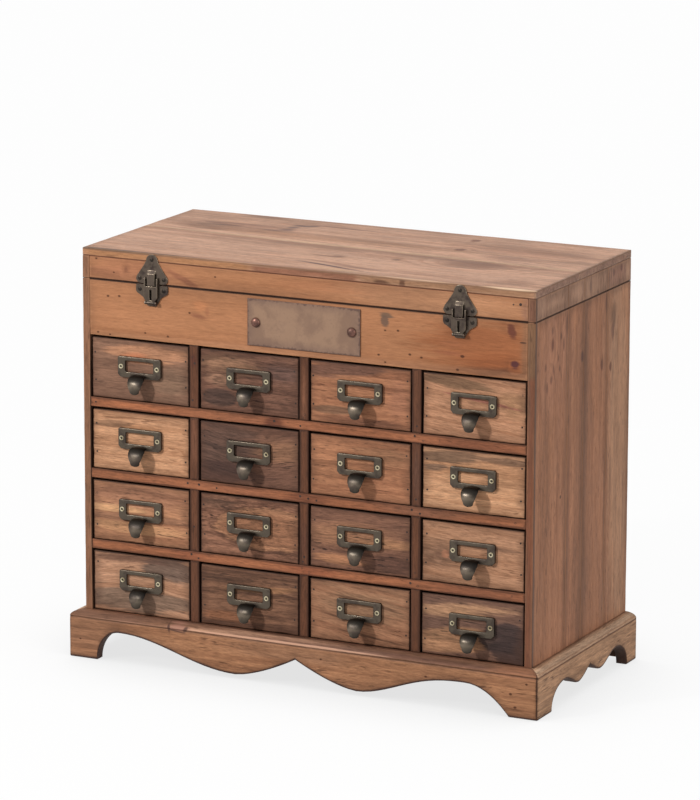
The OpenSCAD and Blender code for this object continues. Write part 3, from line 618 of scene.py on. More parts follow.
# Drawers: each front is another old board, described by its timber and by where it is stained
drawerLooks = {
    (1, 1): dict(timber="mauve", tint=(0.921, 0.883, 0.859),
        stains=[band(4, 20, 50, 10, (203, 152, 118), turn=-2),
            band(-5, 14, 14, 4, (212, 140, 104), 0.8, 0.6),
            band(36, -10, 18, 14, (140, 118, 98), 0.5, 0.6)]),
    (1, 2): dict(timber="brown", tint=(0.854, 0.807, 0.808),
        stains=[band(-22, 17, 34, 8, (176, 140, 108), 0.7, 0.5),
            band(-34, -18, 19, 8.5, (92, 72, 62), 0.9, 0.15, ragged=0.8),
            band(-32, 0, 14, 5, (186, 148, 118), 0.7, 0.5), band(36, 14, 22, 9, (132, 106, 96), 0.6, 0.5)],
        knots=[knot(-34, 2, 3, 1.6, (110, 80, 60), 0.4)]),
    (1, 3): dict(timber="orange", tint=(0.931, 0.902, 0.902),
        stains=[band(-18, 24, 46, 6.5, (138, 100, 82), 0.9, turn=4),
            band(-32, -17, 24, 4.5, (140, 108, 84)), band(0, -26, 52, 4, (124, 84, 66), 0.6),
            band(42, 2, 13, 20, (168, 118, 92), 0.6, 0.5)]),
    (1, 4): dict(timber="honey", slope=0.1, tint=(0.917, 0.878, 0.907),
        stains=[band(-26, 25, 34, 5, (138, 110, 80), 0.85, turn=-5),
            band(42, 3, 16, 12, (168, 132, 92), 0.6, 0.5), band(14, 7, 36, 1.3, (178, 116, 96), turn=-7)],
        knots=[knot(38, 6, 4, 3, (176, 136, 94), 0.3)]),
    (2, 1): dict(timber="honey", tint=(0.985, 0.96, 0.98),
        stains=[band(-34, 17, 20, 3.4, (146, 112, 84), 0.75, turn=3),
            band(-22, 24, 18, 1.2, (150, 108, 76), 0.7, turn=4),
            band(-10, -22, 46, 7, (216, 166, 124), 0.5)],
        knots=[knot(38, -6, 3.4, 2.2, (160, 116, 82), 0.35)]),
    (2, 2): dict(timber="umber", tint=(0.97, 0.907, 0.864), bow=7.0,
        stains=[band(-30, 8, 36, 30, (98, 78, 70), 0.85, 0.35),
            band(-32, -20, 26, 12, (88, 66, 60), 0.9, 0.12, ragged=0.8),
            band(36, 8, 24, 12, (160, 124, 98), 0.6, 0.5)]),
    (2, 3): dict(timber="orange", tint=(0.921, 0.892, 0.893),
        stains=[band(24, 16, 30, 10, (158, 118, 88), 0.7, 0.5),
            band(-34, 4, 22, 22, (196, 142, 104), 0.5, 0.6)]),
    (2, 4): dict(timber="honey", tint=(1.02, 1.005, 1.03),
        stains=[band(-30, 22, 32, 6, (126, 100, 78), 0.85, turn=4),
            band(-42, 11, 14, 3.6, (136, 108, 86), 0.85, turn=6),
            band(34, 24, 26, 3, (124, 98, 78), 0.7), band(36, 2, 22, 5, (176, 132, 96), 0.5, 0.5)]),
    (3, 1): dict(timber="orange", tint=(0.985, 0.995, 1.01),
        stains=[band(-30, 3, 26, 3.2, (214, 162, 118), 0.9), band(0, -15, 56, 5, (206, 152, 110)),
            band(-8, -5, 50, 4, (146, 104, 80), 0.7), band(0, 19, 56, 9, (176, 124, 98), 0.5, 0.5)]),
    (3, 2): dict(timber="brown", tint=(1.051, 1.0, 0.975), heart=(2, 9), rise=-0.16,
        stains=[band(22, 0, 68, 25, (96, 68, 54), 0.8, 0.08, ragged=0.5),
            band(24, 0, 66, 22, (172, 130, 100), 0.8, 0.05, ragged=0.5),
            band(30, -1, 66, 17, (140, 102, 78), 0.8, 0.08, ragged=0.5),
            band(-36, 22, 24, 7, (92, 70, 58), 0.8, 0.4)]),
    (3, 3): dict(timber="umber", tint=(1.036, 0.968, 0.911),
        stains=[band(-28, -21, 28, 6.5, (178, 134, 104), 0.85, turn=-3),
            band(26, 1, 36, 4, (172, 134, 104), 0.8, 0.5), band(-20, 6, 46, 12, (166, 128, 102), 0.7, 0.6),
            band(34, -20, 24, 9, (82, 60, 54), 0.7, 0.4)]),
    (3, 4): dict(timber="honey", slope=0.06, tint=(0.882, 0.854, 0.888),
        stains=[band(-34, -2, 20, 13, (132, 102, 80), 0.6, 0.5), band(-30, -1, 4, 4, (204, 146, 108), 0.9),
            band(20, 10, 34, 3, (140, 106, 82), 0.6, turn=-2)],
        knots=[knot(-38, -3, 3.4, 3, (120, 88, 68), 0.5)]),
    (4, 1): dict(timber="honey", tint=(0.911, 0.897, 0.956), bow=-5.0,
        stains=[band(34, 18, 26, 10, (116, 98, 82), 0.85, 0.2, turn=-8),
            band(0, -18, 64, 11, (140, 116, 92), 0.85, 0.2), band(-20, 26, 40, 3, (132, 98, 78), 0.6)]),
    (4, 2): dict(timber="brown", tint=(0.9, 0.865, 0.825),
        stains=[band(16, 12, 40, 2.6, (176, 132, 100), turn=5), band(-20, 22, 38, 7, (104, 76, 62), 0.7),
            band(-30, -20, 26, 5, (164, 112, 82), 0.6)]),
    (4, 3): dict(timber="orange", slope=0.13, tint=(0.916, 0.926, 0.955),
        stains=[band(0, 8, 54, 20, (168, 128, 96), 0.7, 0.5),
            band(8, 12, 48, 2, (104, 72, 54), 0.7, turn=-8),
            band(-20, -6, 40, 1.6, (98, 66, 50), 0.7, turn=-9),
            band(6, -22, 44, 1.6, (104, 70, 52), 0.7, turn=-6)]),
    (4, 4): dict(timber="umber", slope=0.04, tint=(1.035, 1.018, 1.0),
        stains=[band(-14, 17, 62, 7, (186, 144, 112), 0.85, 0.4, turn=3),
            band(-22, -14, 44, 13, (176, 132, 100), 0.9, 0.15, turn=8, ragged=0.8),
            band(34, -4, 24, 15, (66, 52, 50), 0.95, 0.12, turn=14, ragged=0.8),
            band(48, -20, 26, 14, (62, 48, 46), 0.95, 0.12, ragged=0.8)]),
}

drawerBox = dict(radius=1.1 * mm, wear=0.7, wobble=0.3 * mm, sideRadius=0.5 * mm, bowWave=28,
                 nailInset=4.0 * mm, nailHeights=(17.0 * mm, -14.0 * mm), nailDrift=2.5 * mm)
innerWood = timber("drawerBoxPine", timbers["plain"])
longRun = 50 * mm  # a board of the box that goes further back than this has its grain that way


def drawerBoards(node, seed, look):
    # the front is the solid nearest the room, and its rings bow by a cosine along it or slope evenly;
    # the rest are the box behind it
    (low, high), *inner = sorted(solidBoxes(node), key=lambda box: box[0][1])
    front = boardPart(low, high, 0, 1, seed, drawerBox["radius"], 3 * mm, drawerBox["wear"],
                      drawerBox["wobble"], heart=look.get("heart"), tilt=look.get("rise", 0.0))
    run = front["points"][:, 0] - (low[0] + high[0]) / 2
    bow = look.get("bow", 0.0) * mm * np.cos(run * drawerBox["bowWave"])
    front["grain"][:, 1] += bow + look.get("slope", 0.0) * run
    parts = [front]
    for index, (boxLow, boxHigh) in enumerate(inner):
        span = boxHigh - boxLow
        along = 1 if span[1] > longRun else 0
        parts.append(boardPart(boxLow, boxHigh, along, int(np.argmin(span)), seed + 11 * (index + 1),
                               drawerBox["sideRadius"], 14 * mm, 0.3, 0.0, slotIndex=1))
    return parts, low, high


for (row, col), look in drawerLooks.items():
    node = f"drawer_{row}{col}"
    seed = 100 + 10 * row + col
    parts, low, high = drawerBoards(node, seed, look)
    centre = np.array([(low[0] + high[0]) / 2, low[1], (low[2] + high[2]) / 2])
    reach = (high[0] - low[0]) / 2 - drawerBox["nailInset"]
    draw = np.random.default_rng(seed)
    for side in (-1, 1):
        for height in drawerBox["nailHeights"]:
            sideways, upward = draw.uniform(-1, 1, 2) * drawerBox["nailDrift"]
            parts.append(nailPart(centre + (side * reach + sideways * 0.4, 0, height + upward), 2))
    front = timber(f"drawerFront{row}{col}", timbers[look["timber"]], "front", centre, look["stains"],
                   look.get("knots", ()), look["tint"])
    makePiece(node + "_boards", parts, [front, innerWood, darkNail], node)

print("drawers built")

# Label pulls: a cast plate with a window and a tongue that curls down, held by two ring-headed screws
pull = dict(width=49, height=21.5, thick=3.0, sheet=1.4, windowWide=32, windowHigh=11.5, topRail=4.1,
            lowCut=3.0, topCut=1.2, windowCut=0.8, round=0.7, pocket=2.0, reach=15.0, drop=14.5, bend=0.6,
            root=18.0, tip=11.0, tongueThick=1.8, crown=0.8, overlap=3.4, tipRound=4.0, screwPitch=41.0,
            screwRise=0.4)
bronze = metal("pullBronze", (88, 78, 67), (70, 60, 53), (78, 73, 60), 0.36, 0.8, True)
brass = metal("screwBrass", (192, 182, 152), (144, 130, 100), (178, 172, 146), 0.5, 0.3)
# dark metal in the middle of each screw ring: painted shade of its hole
slotDark = metal("screwSlot", (60, 52, 40), (45, 38, 30), (70, 64, 50), 0.7, 0.3)


def cutOutline(wide, high, lowCut, topCut, shift=0.0):
    # a rectangle with cut corners, walked corner by corner with as many points on the plate as on its window
    corners, ends = ((-1, -1, lowCut), (1, -1, lowCut), (1, 1, topCut), (-1, 1, topCut)), []
    for index, (sx, sz, cut) in enumerate(corners):
        upright = (sx * wide / 2, sz * (high / 2 - cut))
        level = (sx * (wide / 2 - cut), sz * high / 2)
        ends.append((upright, level) if index % 2 == 0 else (level, upright))
    found = []
    for (start, end), (goal, _) in zip(ends, ends[1:] + ends[:1]):
        found += [np.linspace(start, end, 4), np.linspace(end, goal, 12)[1:-1]]
    return np.concatenate(found) + (0, shift)


def pullPlate():
    # a closed cross-section carried round between the plate's outline and the window's
    p = pull
    windowZ = p["height"] / 2 - p["topRail"] - p["windowHigh"] / 2
    outer = cutOutline(p["width"], p["height"], p["lowCut"], p["topCut"])
    inner = cutOutline(p["windowWide"], p["windowHigh"], p["windowCut"], p["windowCut"], windowZ)
    toward = inner - outer
    toward /= np.linalg.norm(toward, axis=1, keepdims=True)
    b, t, sheet, pocket = p["round"], p["thick"], p["thick"] - p["sheet"], p["pocket"]
    # outline, how far in from it, how far out from the drawer, and its tone, painted shade: lower on the
    # outer sides and much lower on the window's walls and in its pocket
    section = [(outer, 0, 0, 0.7), (outer, 0, t - b, 0.8), (outer, 0.3 * b, t - 0.3 * b, 0.95),
               (outer, b, t, 1), (inner, -b, t, 1), (inner, -0.3 * b, t - 0.3 * b, 0.7),
               (inner, 0, t - b, 0.2), (inner, 0, sheet, 0.15), (inner, -pocket, sheet, 0.15),
               (inner, -pocket, 0, 0.5)]
    rings = []
    for outline, inset, out, _ in section:
        flat = outline + toward * inset
        rings.append(np.stack([flat[:, 0], np.full(len(flat), -out), flat[:, 1]], -1))
    part = sweepPart(np.array(rings) * mm, closedAlong=True)
    part["tone"] = np.repeat([place[3] for place in section], len(outer))
    return part


def pullTongue():
    # a rounded crowned section carried along a quarter ellipse and a short tail; its tone is painted light:
    # painted shade on its top, a painted highlight at the bend and a lighter left side
    p = pull
    half, bendHigh = p["height"] / 2, p["drop"] * p["bend"]
    rootY, reach = p["thick"] - p["sheet"] / 2, p["reach"] - p["tongueThick"] / 2
    rootZ, bendZ, tailZ = p["overlap"] - half, -half - bendHigh, -half - p["drop"]
    turn = np.radians(np.linspace(90, 0, 15))
    ellipse = np.stack([rootY + (reach - rootY) * np.cos(turn), bendZ + (rootZ - bendZ) * np.sin(turn)], -1)
    s = np.array([0.3, 0.55, 0.75, 0.86, 0.93, 0.97, 0.99, 1.0])
    path = np.concatenate([ellipse, np.stack([reach - 0.5 * s * s, bendZ + (tailZ - bendZ) * s], -1)])
    step = np.gradient(path, axis=0)
    step /= np.linalg.norm(step, axis=1, keepdims=True)
    length = np.concatenate([[0], np.cumsum(np.linalg.norm(np.diff(path, axis=0), axis=1))])
    drops = [half - p["overlap"], half, half + bendHigh * 0.5, half + bendHigh,
             half + p["drop"] - p["tipRound"]]
    widths = [p["root"] - 1.2, p["root"], p["root"] - 1.6, p["tip"] + 2.2, p["tip"]]
    toTip = np.clip((path[:, 1] - tailZ) / p["tipRound"], 0, 1)
    roundTip = np.clip(1 - (1 - toTip) ** 2.8, 0.02, 1) ** (1 / 2.8)
    wide = (np.interp(-path[:, 1], drops, widths) * roundTip)[:, None]
    angle = np.linspace(0, 2 * math.pi, 24, endpoint=False)
    x = np.sign(np.cos(angle)) * np.abs(np.cos(angle)) ** 0.6
    lift = np.sign(np.sin(angle)) * np.abs(np.sin(angle)) ** 0.7 * p["tongueThick"] / 2
    rise = lift * (0.5 + 0.5 * roundTip[:, None]) - p["crown"] * x * x * np.clip(wide / p["tip"], 0, 1)
    out, up = path[:, :1] - step[:, 1:] * rise, path[:, 1:] + step[:, :1] * rise
    part = sweepPart(np.stack([x * wide / 2, -out, up], -1) * mm)
    # painted light along the tongue: dark top, bright band just past the bend, darker again towards the tip;
    # across it the left side is lighter
    shares, dirt = [0, 0.3, 0.48, 0.58, 0.68, 0.78, 1], [0.17, 0.2, 0.27, 0.6, 1.65, 1.0, 0.4]
    tones = np.interp(length / length[-1], shares, dirt)
    part["tone"] = np.append(np.outer(tones, 1 - 0.4 * x).ravel(), [tones[0], tones[-1]])
    return part


def pullScrews():
    # two turned rings, each with a dark turned centre, painted shade of the hole in the ring
    ring = [(2.5, -0.1), (2.45, 0.5), (2.2, 0.8), (1.75, 0.85), (1.35, 0.6), (1.2, 0.2), (1.0, -0.05)]
    hole = [(1.3, -0.1), (1.25, 0.3), (0.6, 0.25)]
    found = []
    for side in (-1, 1):
        at = np.array([side * pull["screwPitch"] / 2, -pull["thick"], pull["screwRise"]]) * mm
        found += [turnedPart(ring, at, forward, 1), turnedPart(hole, at, forward, 2, 12)]
    return found


pullParts = [pullPlate(), pullTongue()] + pullScrews()
for row in range(1, rows + 1):
    for col in range(1, columns + 1):
        node = f"pull_{row}{col}"
        low, high = boxOf(node)
        place = np.array([(low[0] + high[0]) / 2, high[1], high[2] - pull["height"] / 2 * mm])
        placed = [dict(part, points=part["points"] + place) for part in pullParts]
        makePiece(f"{node}_metal", placed, [bronze, brass, slotDark], node, outward=True)

print("pulls built")

# Boards of the case and the lid: lines that several of them carry
# a dark line where lid meets case: painted shade of the gap between them, on the front and on both sides
seam = stain(0, 395.45, 900, 1.3, (40, 20, 13), 0.95, 0.35, ragged=0.3, deep=2.2, face="front", late=True)
sideSeam = dict(seam, face="side", size=(900, 1.1), colour=(62, 40, 30), strength=0.85)
leftSeam = dict(sideSeam, face="left")
topLine = stain(0, 418.8, 900, 0.8, (96, 50, 34), ragged=0.6, deep=2.2, face="front", late=True)
sideTopLine = dict(topLine, face="side", colour=(86, 58, 46), strength=0.7)
arris = stain(0, 425.6, 900, 0.8, (124, 92, 72), ragged=1.2, face="front", late=True)
redFront = stain(frontY, 200, 1.6, 900, (150, 94, 68), 0.9, 0.3, ragged=0.2, face="side")
leftFront = dict(redFront, colour=(165, 117, 88))
oliveFront = stain(frontY, 368, 1.6, 28, (158, 120, 88), 0.9, 0.15, ragged=0.4, face="side")
cornerLine = stain(frontY + 2.3, 300, 1.8, 900, (92, 72, 62), 0.85, 0.5, ragged=0.9, face="side", late=True)


def sideMarks(*spots):
    # small dark ragged spots on the right side, each given as y, z and two half sizes
    return [stain(*spot, (118, 80, 66), 0.7, ragged=1.2) for spot in spots]


def marks(colour, *spots):
    # small ragged stains of one colour on the top, each given as x, y and two half sizes
    return [stain(*spot, colour, turn=-3, ragged=0.9) for spot in spots]


def dots(*spots):
    # small dark marks: nail holes and chips, each given as x, z and a half size
    return [stain(x, z, r, r * 0.7, (72, 40, 26), 0.9, 0.45, ragged=0.9, late=True) for x, z, r in spots]


# Planks are laid side by side between the splits, given in millimetres; slopes turn the joints a little
boardLooks = dict(
    fascia=dict(timber="fascia", slotName="case_pine", seed=301, heart=(10, 60),
        stains=[seam, stain(90, 388.4, 8.4, 3.6, (112, 88, 72), 0.9, 0.3, ragged=2.0, late=True),
            stain(88.6, 383, 4.4, 6, (108, 84, 70), 0.9, 0.3, turn=12, ragged=1.6, late=True),
            stain(212, 348, 28, 12, (124, 74, 48), 0.85, ragged=1.2),
            stain(196, 366, 60, 26, (156, 92, 56), 0.75),
            stain(205, 342, 16, 2.4, (108, 66, 44), 0.7, 0.5, turn=14),
            stain(241, 366, 5, 40, (156, 112, 82), 0.7), stain(200, 343, 30, 3, (128, 84, 60), 0.5),
            stain(158, 357, 14, 2.4, (152, 94, 66), 0.7), stain(160, 366, 10, 3, (170, 108, 74), 0.6),
            stain(-116, 378.5, 7, 5, (196, 130, 88), 0.6),
            stain(-117.5, 367.5, 10, 2.6, (134, 84, 62), 0.75, 0.5, turn=-8),
            stain(-108, 372, 2.4, 5, (160, 104, 74), 0.6, 0.5),
            stain(237, 374.6, 3.6, 0.9, (66, 46, 40), 0.85, 0.3, ragged=0.8),
            stain(0, 341, 240, 3, (196, 140, 104), 0.4),
            *dots((172.5, 355, 2.0), (89, 373, 1.3), (103, 374, 1.4), (116, 351.4, 1.6),
                (128.5, 349.6, 1.3), (82, 348, 1.4), (89.2, 341.1, 1.3), (167.4, 341.1, 1.6),
                (-221, 379, 1.5), (-208, 380, 1.5), (-178.5, 344.8, 1.2), (-152.7, 343.6, 1.5),
                (-232.7, 340.8, 1.5), (-219, 339.6, 1.3), (-128, 370, 1.4))],
        knots=[knot(225, 384.8, 4.6, 7.4, (102, 56, 44), 0.9, turn=20),
            knot(228.6, 352.3, 4.6, 4.3, (84, 46, 48), 0.95)]),
    lid_front=dict(timber="fascia", slotName="lid_pine", seed=302, heart=(4, 70),
        stains=[seam, topLine, stain(-137, 404.5, 18, 2.6, (132, 80, 60), 0.7, 0.5, turn=-24),
            stain(-196, 408, 50, 12, (168, 112, 84), 0.6), stain(60, 412, 70, 6, (186, 124, 88), 0.5),
            stain(150, 407, 96, 16, (194, 142, 106), 0.7), stain(241, 407, 6, 30, (158, 114, 92), 0.7),
            *dots((-234, 416.5, 1.4), (-99, 409.5, 1.2), (-214, 404, 1.0))],
        knots=[knot(-200, 408, 2.4, 3.4, (126, 80, 60), 0.6)],
        nails=[(233.9, 412.2, 1.4), (226.4, 411.5, 0.8)]),
    lid_top=dict(timber="top", tint=(0.935, 0.918, 0.9), face="top", splits=(3.5, 45),
        slopes=(-0.05, -0.05), slotName="lid_pine", seed=303, tones=(1.0, 1.03, 0.98),
        stains=[arris, topLine, sideTopLine,
            stain(-236, -112.6, 150, 3.2, (104, 78, 60), 0.85, 0.5, ragged=1.2, deep=1.3, late=True),
            # pale at the right end of the front edge: painted highlight and wear
            stain(222, -113, 28, 3.0, (240, 206, 172), 0.85, 0.5, ragged=1.2, deep=1.3, late=True),
            stain(120, -113, 40, 2.4, (222, 184, 154), 0.7, 0.5, ragged=1.6, deep=1.3, late=True),
            # a pale line along the plank joint: painted highlight
            stain(0, 7.5, 330, 4.2, (240, 200, 166), 0.85, 0.5, turn=-2.9, ragged=0.6),
            stain(0, -3, 300, 6, (170, 122, 96), 0.5, turn=-2.9, ragged=1.2),
            stain(-186, 50, 34, 22, (150, 108, 86), 0.7, ragged=1.6),
            *marks((124, 86, 68), (-206, 42, 7, 3), (-200, 53, 8, 2.6), (-186, 44, 9, 4), (-183, 57, 9, 3),
                (-172, 61, 12, 3), (-178, 35, 12, 3), (-192, 66, 14, 2.4)),
            *marks((96, 80, 80), (-121, 53, 12, 3.4), (-109, 62, 10, 6), (-108, 76, 6, 6),
                (-103, 88, 11, 5), (-130, 40, 10, 3), (-92, 92, 7, 3)),
            *marks((142, 104, 86), (2, -42, 8, 5), (-12, -44, 14, 2.4), (61, -31, 5, 5), (-161, 117, 26, 3),
                (-60, 96, 40, 2.4)),
            stain(-140, 58, 46, 20, (166, 116, 92), 0.5),
            stain(-60, 36, 150, 14, (206, 150, 112), 0.5, turn=-3),
            stain(160, 60, 90, 16, (178, 122, 92), 0.5, turn=-3),
            stain(18, -90, 40, 2.6, (84, 62, 62), 0.9, 0.5, turn=-15, ragged=0.9),
            stain(34, -82, 48, 4, (150, 104, 84), 0.6, 0.5, turn=-15),
            stain(30, -104, 30, 6, (232, 190, 152), 0.6, 0.5, turn=-10),
            stain(214, -84, 20, 14, (176, 130, 104), 0.6),
            stain(142, -24, 36, 19, (154, 110, 88), 0.7, 0.4, ragged=1.2),
            stain(160, 22, 34, 8, (156, 114, 94), 0.6, 0.5, turn=-3),
            stain(3, topZ - 4, 300, 20, (148, 114, 98), 0.8, 0.2, ragged=0.3, deep=2, face="side"),
            stain(-154, topZ - 4, 97, 20, (212, 151, 100), 0.8, 0.1, ragged=0.2, deep=1.4, face="front"),
            stain(1, topZ - 4, 58, 20, (174, 116, 89), 0.85, 0.1, ragged=0.2, deep=1.4, face="front"),
            stain(155, topZ - 4, 95, 20, (201, 153, 115), 0.8, 0.1, ragged=0.2, deep=1.4, face="front"),
            stain(84, 421, 9, 2, (88, 48, 34), 0.75, 0.4, ragged=2.4, deep=2, face="front"),
            stain(107, 421, 3, 4, (104, 60, 42), 0.75, 0.4, ragged=2, deep=2, face="front")],
        knots=[knot(90, 95, 5, 7, (132, 82, 62), swell=1.2), knot(96, 45, 6, 7, (122, 78, 62)),
            knot(142, -24, 22, 10, (144, 100, 80), 0.4, swell=3.0)]),
    lid_right=dict(timber="side", tint=(0.915, 0.99, 1.06), face="side",
        splits=(-35, 5, 64), slotName="lid_pine", seed=305, tones=(1.0, 1.05, 0.95, 1.02),
        stains=[redFront, sideSeam, cornerLine, stain(88, 407, 22, 9, (150, 98, 78), 0.6),
            stain(20, 408, 4, 14, (104, 78, 68), 0.7, 0.5)],
        knots=[knot(98, 413, 2.4, 4, (122, 74, 62)), knot(79, 411, 2.4, 4, (122, 78, 64))]),
    lid_left=dict(timber="side", face="side", splits=(-52, 20, 78), slotName="lid_pine",
        seed=306, tones=(1.0, 0.95, 1.05, 1.0),
        stains=[leftFront, leftSeam]),
    lid_back=dict(timber="back", slotName="lid_pine", seed=307),
    side_right=dict(timber="side", tint=(0.945, 0.93, 0.915), face="side",
        splits=(-35, 5, 64), slotName="side_wood", seed=308, tones=(1.0, 1.05, 0.95, 1.02),
        stains=[redFront, oliveFront, sideSeam, cornerLine, stain(-89, 200, 20, 120, (150, 106, 80), 0.6),
            stain(84, 350, 7, 44, (120, 88, 78), 0.45, 0.7, ragged=2.2),
            stain(8, 330, 5, 70, (128, 94, 80), 0.45, 0.7, ragged=2.2),
            stain(-30, 170, 5, 90, (124, 88, 72), 0.4, 0.7, ragged=2.2),
            stain(6, 230, 22, 200, (146, 104, 80), 0.6, 0.7, ragged=2.2),
            stain(100, 250, 30, 230, (196, 156, 126), 0.6), stain(-66, 350, 30, 50, (190, 138, 112), 0.5),
            *sideMarks((-73, 380, 3, 4), (-52, 371, 2, 4), (-46, 362, 2, 5), (-89, 346, 2, 4),
                (-70, 341, 2, 5), (-55, 339, 2, 4), (-75, 331, 2.4, 4), (-85, 324, 2, 5),
                (-58, 350, 1.6, 4), (78, 352, 3, 8), (61, 384, 2.4, 10), (-38, 380, 2, 9)),
            stain(62, 180, 4, 80, (126, 90, 72), 0.45, 0.7, ragged=2.2),
            stain(-103, 118, 1.2, 16, (84, 58, 44), 0.7, 0.5),
            stain(-36, 116, 1.4, 20, (84, 58, 44), 0.7, 0.5),
            stain(-49, 208, 1.6, 1.6, (70, 48, 38), 0.8, 0.5),
            stain(80, 369, 5, 10, (98, 70, 54), 0.6, 0.5)],
        knots=[knot(-72.5, 366, 3.4, 8, (112, 68, 54), swell=1.8), knot(2.0, 340, 3.6, 5.5, (92, 64, 60)),
            knot(51, 322, 3.6, 6, (112, 74, 60)), knot(73, 316, 3.2, 5, (108, 70, 56))]),
    side_left=dict(timber="side", face="side", splits=(-52, 20, 78), slotName="side_wood",
        seed=309, tones=(1.0, 0.95, 1.05, 1.0),
        stains=[leftFront, leftSeam,
            stain(-242, 193, 0.8, 147, (30, 18, 12), 0.9, 0.3, ragged=0.2, deep=14, face="front", late=True)],
        knots=[knot(-10, 250, 4, 8, (108, 74, 56)), knot(60, 140, 3, 6, (108, 74, 56))]),
    back_panel=dict(timber="back", along=2, thick=1, splits=(-150, -48, 60, 152), slotName="inner_wood",
        seed=310, tones=(1.0, 0.94, 1.04, 0.97, 1.02),
        knots=[knot(-96, 300, 6, 9, (108, 72, 52)), knot(100, 160, 5, 8, (108, 72, 52))]),
    case_floor=dict(timber="rail", face="top", slotName="inner_wood", seed=311),
    till_floor=dict(timber="plain", face="top", splits=(8,), slotName="inner_wood",
        seed=312, tones=(1.0, 0.96)),
    shelves=dict(timber="rail", along=0, thick=2, slotName="rail_wood", seed=313, radius=0.7,
        stains=[stain(-190, 268, 40, 4, (188, 116, 78), 0.6), stain(-60, 268, 26, 5, (172, 110, 80), 0.6),
            stain(-34, 267, 9, 6, (104, 54, 38), 0.8, 0.5), stain(190, 268, 36, 5, (122, 72, 52), 0.6),
            stain(-124, 193.6, 14, 7, (184, 116, 80), 0.7), stain(-70, 194, 40, 4, (176, 112, 82), 0.5),
            stain(2, 193.6, 20, 7, (112, 62, 44), 0.6), stain(130, 194, 40, 6, (132, 90, 70), 0.6),
            stain(-130, 119, 20, 6, (160, 94, 66), 0.6), stain(10, 119, 26, 6, (150, 84, 58), 0.6),
            stain(180, 119, 50, 6, (116, 72, 54), 0.5)],
        nails=[(-131, 194.6, 1.1), (-118, 194.4, 1.2), (-98, 193, 0.9), (-4, 195, 1.2), (5, 193.6, 1.1),
            (14, 192.6, 1.0), (-33, 269, 1.3), (-4, 267, 0.9), (122, 270, 1.2), (131, 266, 1.0),
            (149, 268, 0.8), (119, 195, 1.2), (128, 192, 1.1), (-127, 121, 1.2), (-119, 117.6, 1.0),
            (-2, 121, 0.9), (6, 117.4, 1.1), (118, 120, 1.2), (126, 118, 1.2), (-236, 268, 0.9),
            (231, 194, 1.0), (228, 120, 0.9)]),
    column_dividers=dict(timber="upright", along=2, thick=0, slotName="rail_wood", seed=314, radius=0.7,
        stains=[stain(-123.5, 322, 4, 6, (104, 56, 44), 0.7, 0.5),
            stain(-123.5, 240, 3, 20, (160, 106, 80), 0.5), stain(0, 300, 3, 26, (166, 112, 84), 0.5),
            stain(0, 150, 3, 20, (96, 62, 50), 0.6), stain(123.5, 230, 4, 24, (104, 74, 62), 0.6)],
        nails=[(-125, 325, 1.0), (-122.5, 319, 1.1), (-125, 281, 1.0), (1, 279, 1.2), (-1, 276, 0.9),
            (124, 280, 1.0), (-124, 150, 1.0), (0.5, 133, 1.1), (-1, 128, 0.9), (123.5, 206, 1.0),
            (123, 131, 1.1)]),
    plinth_back=dict(timber="shade", slotName="inner_wood", seed=315),
    corner_blocks=dict(timber="shade", along=2, thick=0, slotName="inner_wood", seed=316),
)


def plankParts(low, high, look, seed):
    # one board for every stretch between the splits; a slope turns the joint a little, as old planks taper
    along, thick = look["along"], look["thick"]
    across = 3 - along - thick
    bounds = [low[across]] + [at * mm for at in look["splits"]] + [high[across]]
    count = len(bounds) - 1
    slopes = [0, *look.get("slopes", (0,) * (count - 1)), 0]
    tones = look.get("tones", (1.0,) * count)
    found = []
    for index in range(count):
        a, b = low.copy(), high.copy()
        a[across] = bounds[index] + (0.1 * mm if index else 0)
        b[across] = bounds[index + 1] - (0.1 * mm if index < count - 1 else 0)
        part = boardPart(a, b, along, thick, seed + 5 * index, look["radius"] * mm, 8 * mm, 0.5, 0.15 * mm,
                         heart=look.get("heart"), tone=tones[index])
        share = (part["points"][:, across] - a[across]) / (b[across] - a[across])
        run = part["points"][:, along] - (low[along] + high[along]) / 2
        part["points"][:, across] += run * (slopes[index] * (1 - share) + slopes[index + 1] * share)
        found.append(part)
    return found


for node, own in boardLooks.items():
    face = faces[own.get("face", "front")]
    usual = dict(face="front", along=face["along"], thick=face["thick"], splits=(), stains=(), knots=(),
                 nails=(), tint=(1, 1, 1), radius=0.6)
    look = dict(usual, **own)
    boxes = solidBoxes(node)
    parts = []
    for index, (low, high) in enumerate(boxes):
        parts += plankParts(low, high, look, look["seed"] + 17 * index)
    draw = np.random.default_rng(look["seed"])
    if len(boxes) > 1:
        for part in parts:
            part["tone"] *= draw.uniform(0.9, 1.08)
    for x, z, radius in look["nails"]:
        parts.append(nailPart((x * mm, boxes[0][0][1], z * mm), 1, radius))
    skin = timber(node + "Wood", timbers[look["timber"]], look["face"], face["origin"], look["stains"],
                  look["knots"], look["tint"])
    makePiece(node + "_boards", parts, [skin, darkNail], node)

print("case and lid boards built")

# Plinth: a moulded section carried along scalloped boards that meet in mitres at the front corners
plinth = dict(high=49.5, thick=12, mitreRun=31, moulding=6.0, quirkDeep=0.7, quirkHigh=1.1,
              halfWide=262, halfDeep=131, backEnd=119, middleY=4.15, cuspLeft=4, wornDeep=0.5)
# Half outlines, measured from the middle of a board: where its foot ends, how far and how high the arch
# beside it reaches, where the lobe lies and how low, the cusp's height, and how steeply arch and fall start
leftHalf = dict(foot=227, run=26, arch=31, lobeAt=68, low=4.5, cusp=28.5, rise=1, fall=1)
rightHalf = dict(foot=235, run=48, arch=28.8, lobeAt=68, low=4.5, cusp=28.5, rise=2, fall=1.3)
sideHalf = dict(foot=96, run=34, arch=25, lobeAt=27, low=13.5, cusp=25, rise=1, fall=1)
backSideHalf = dict(sideHalf, run=29)


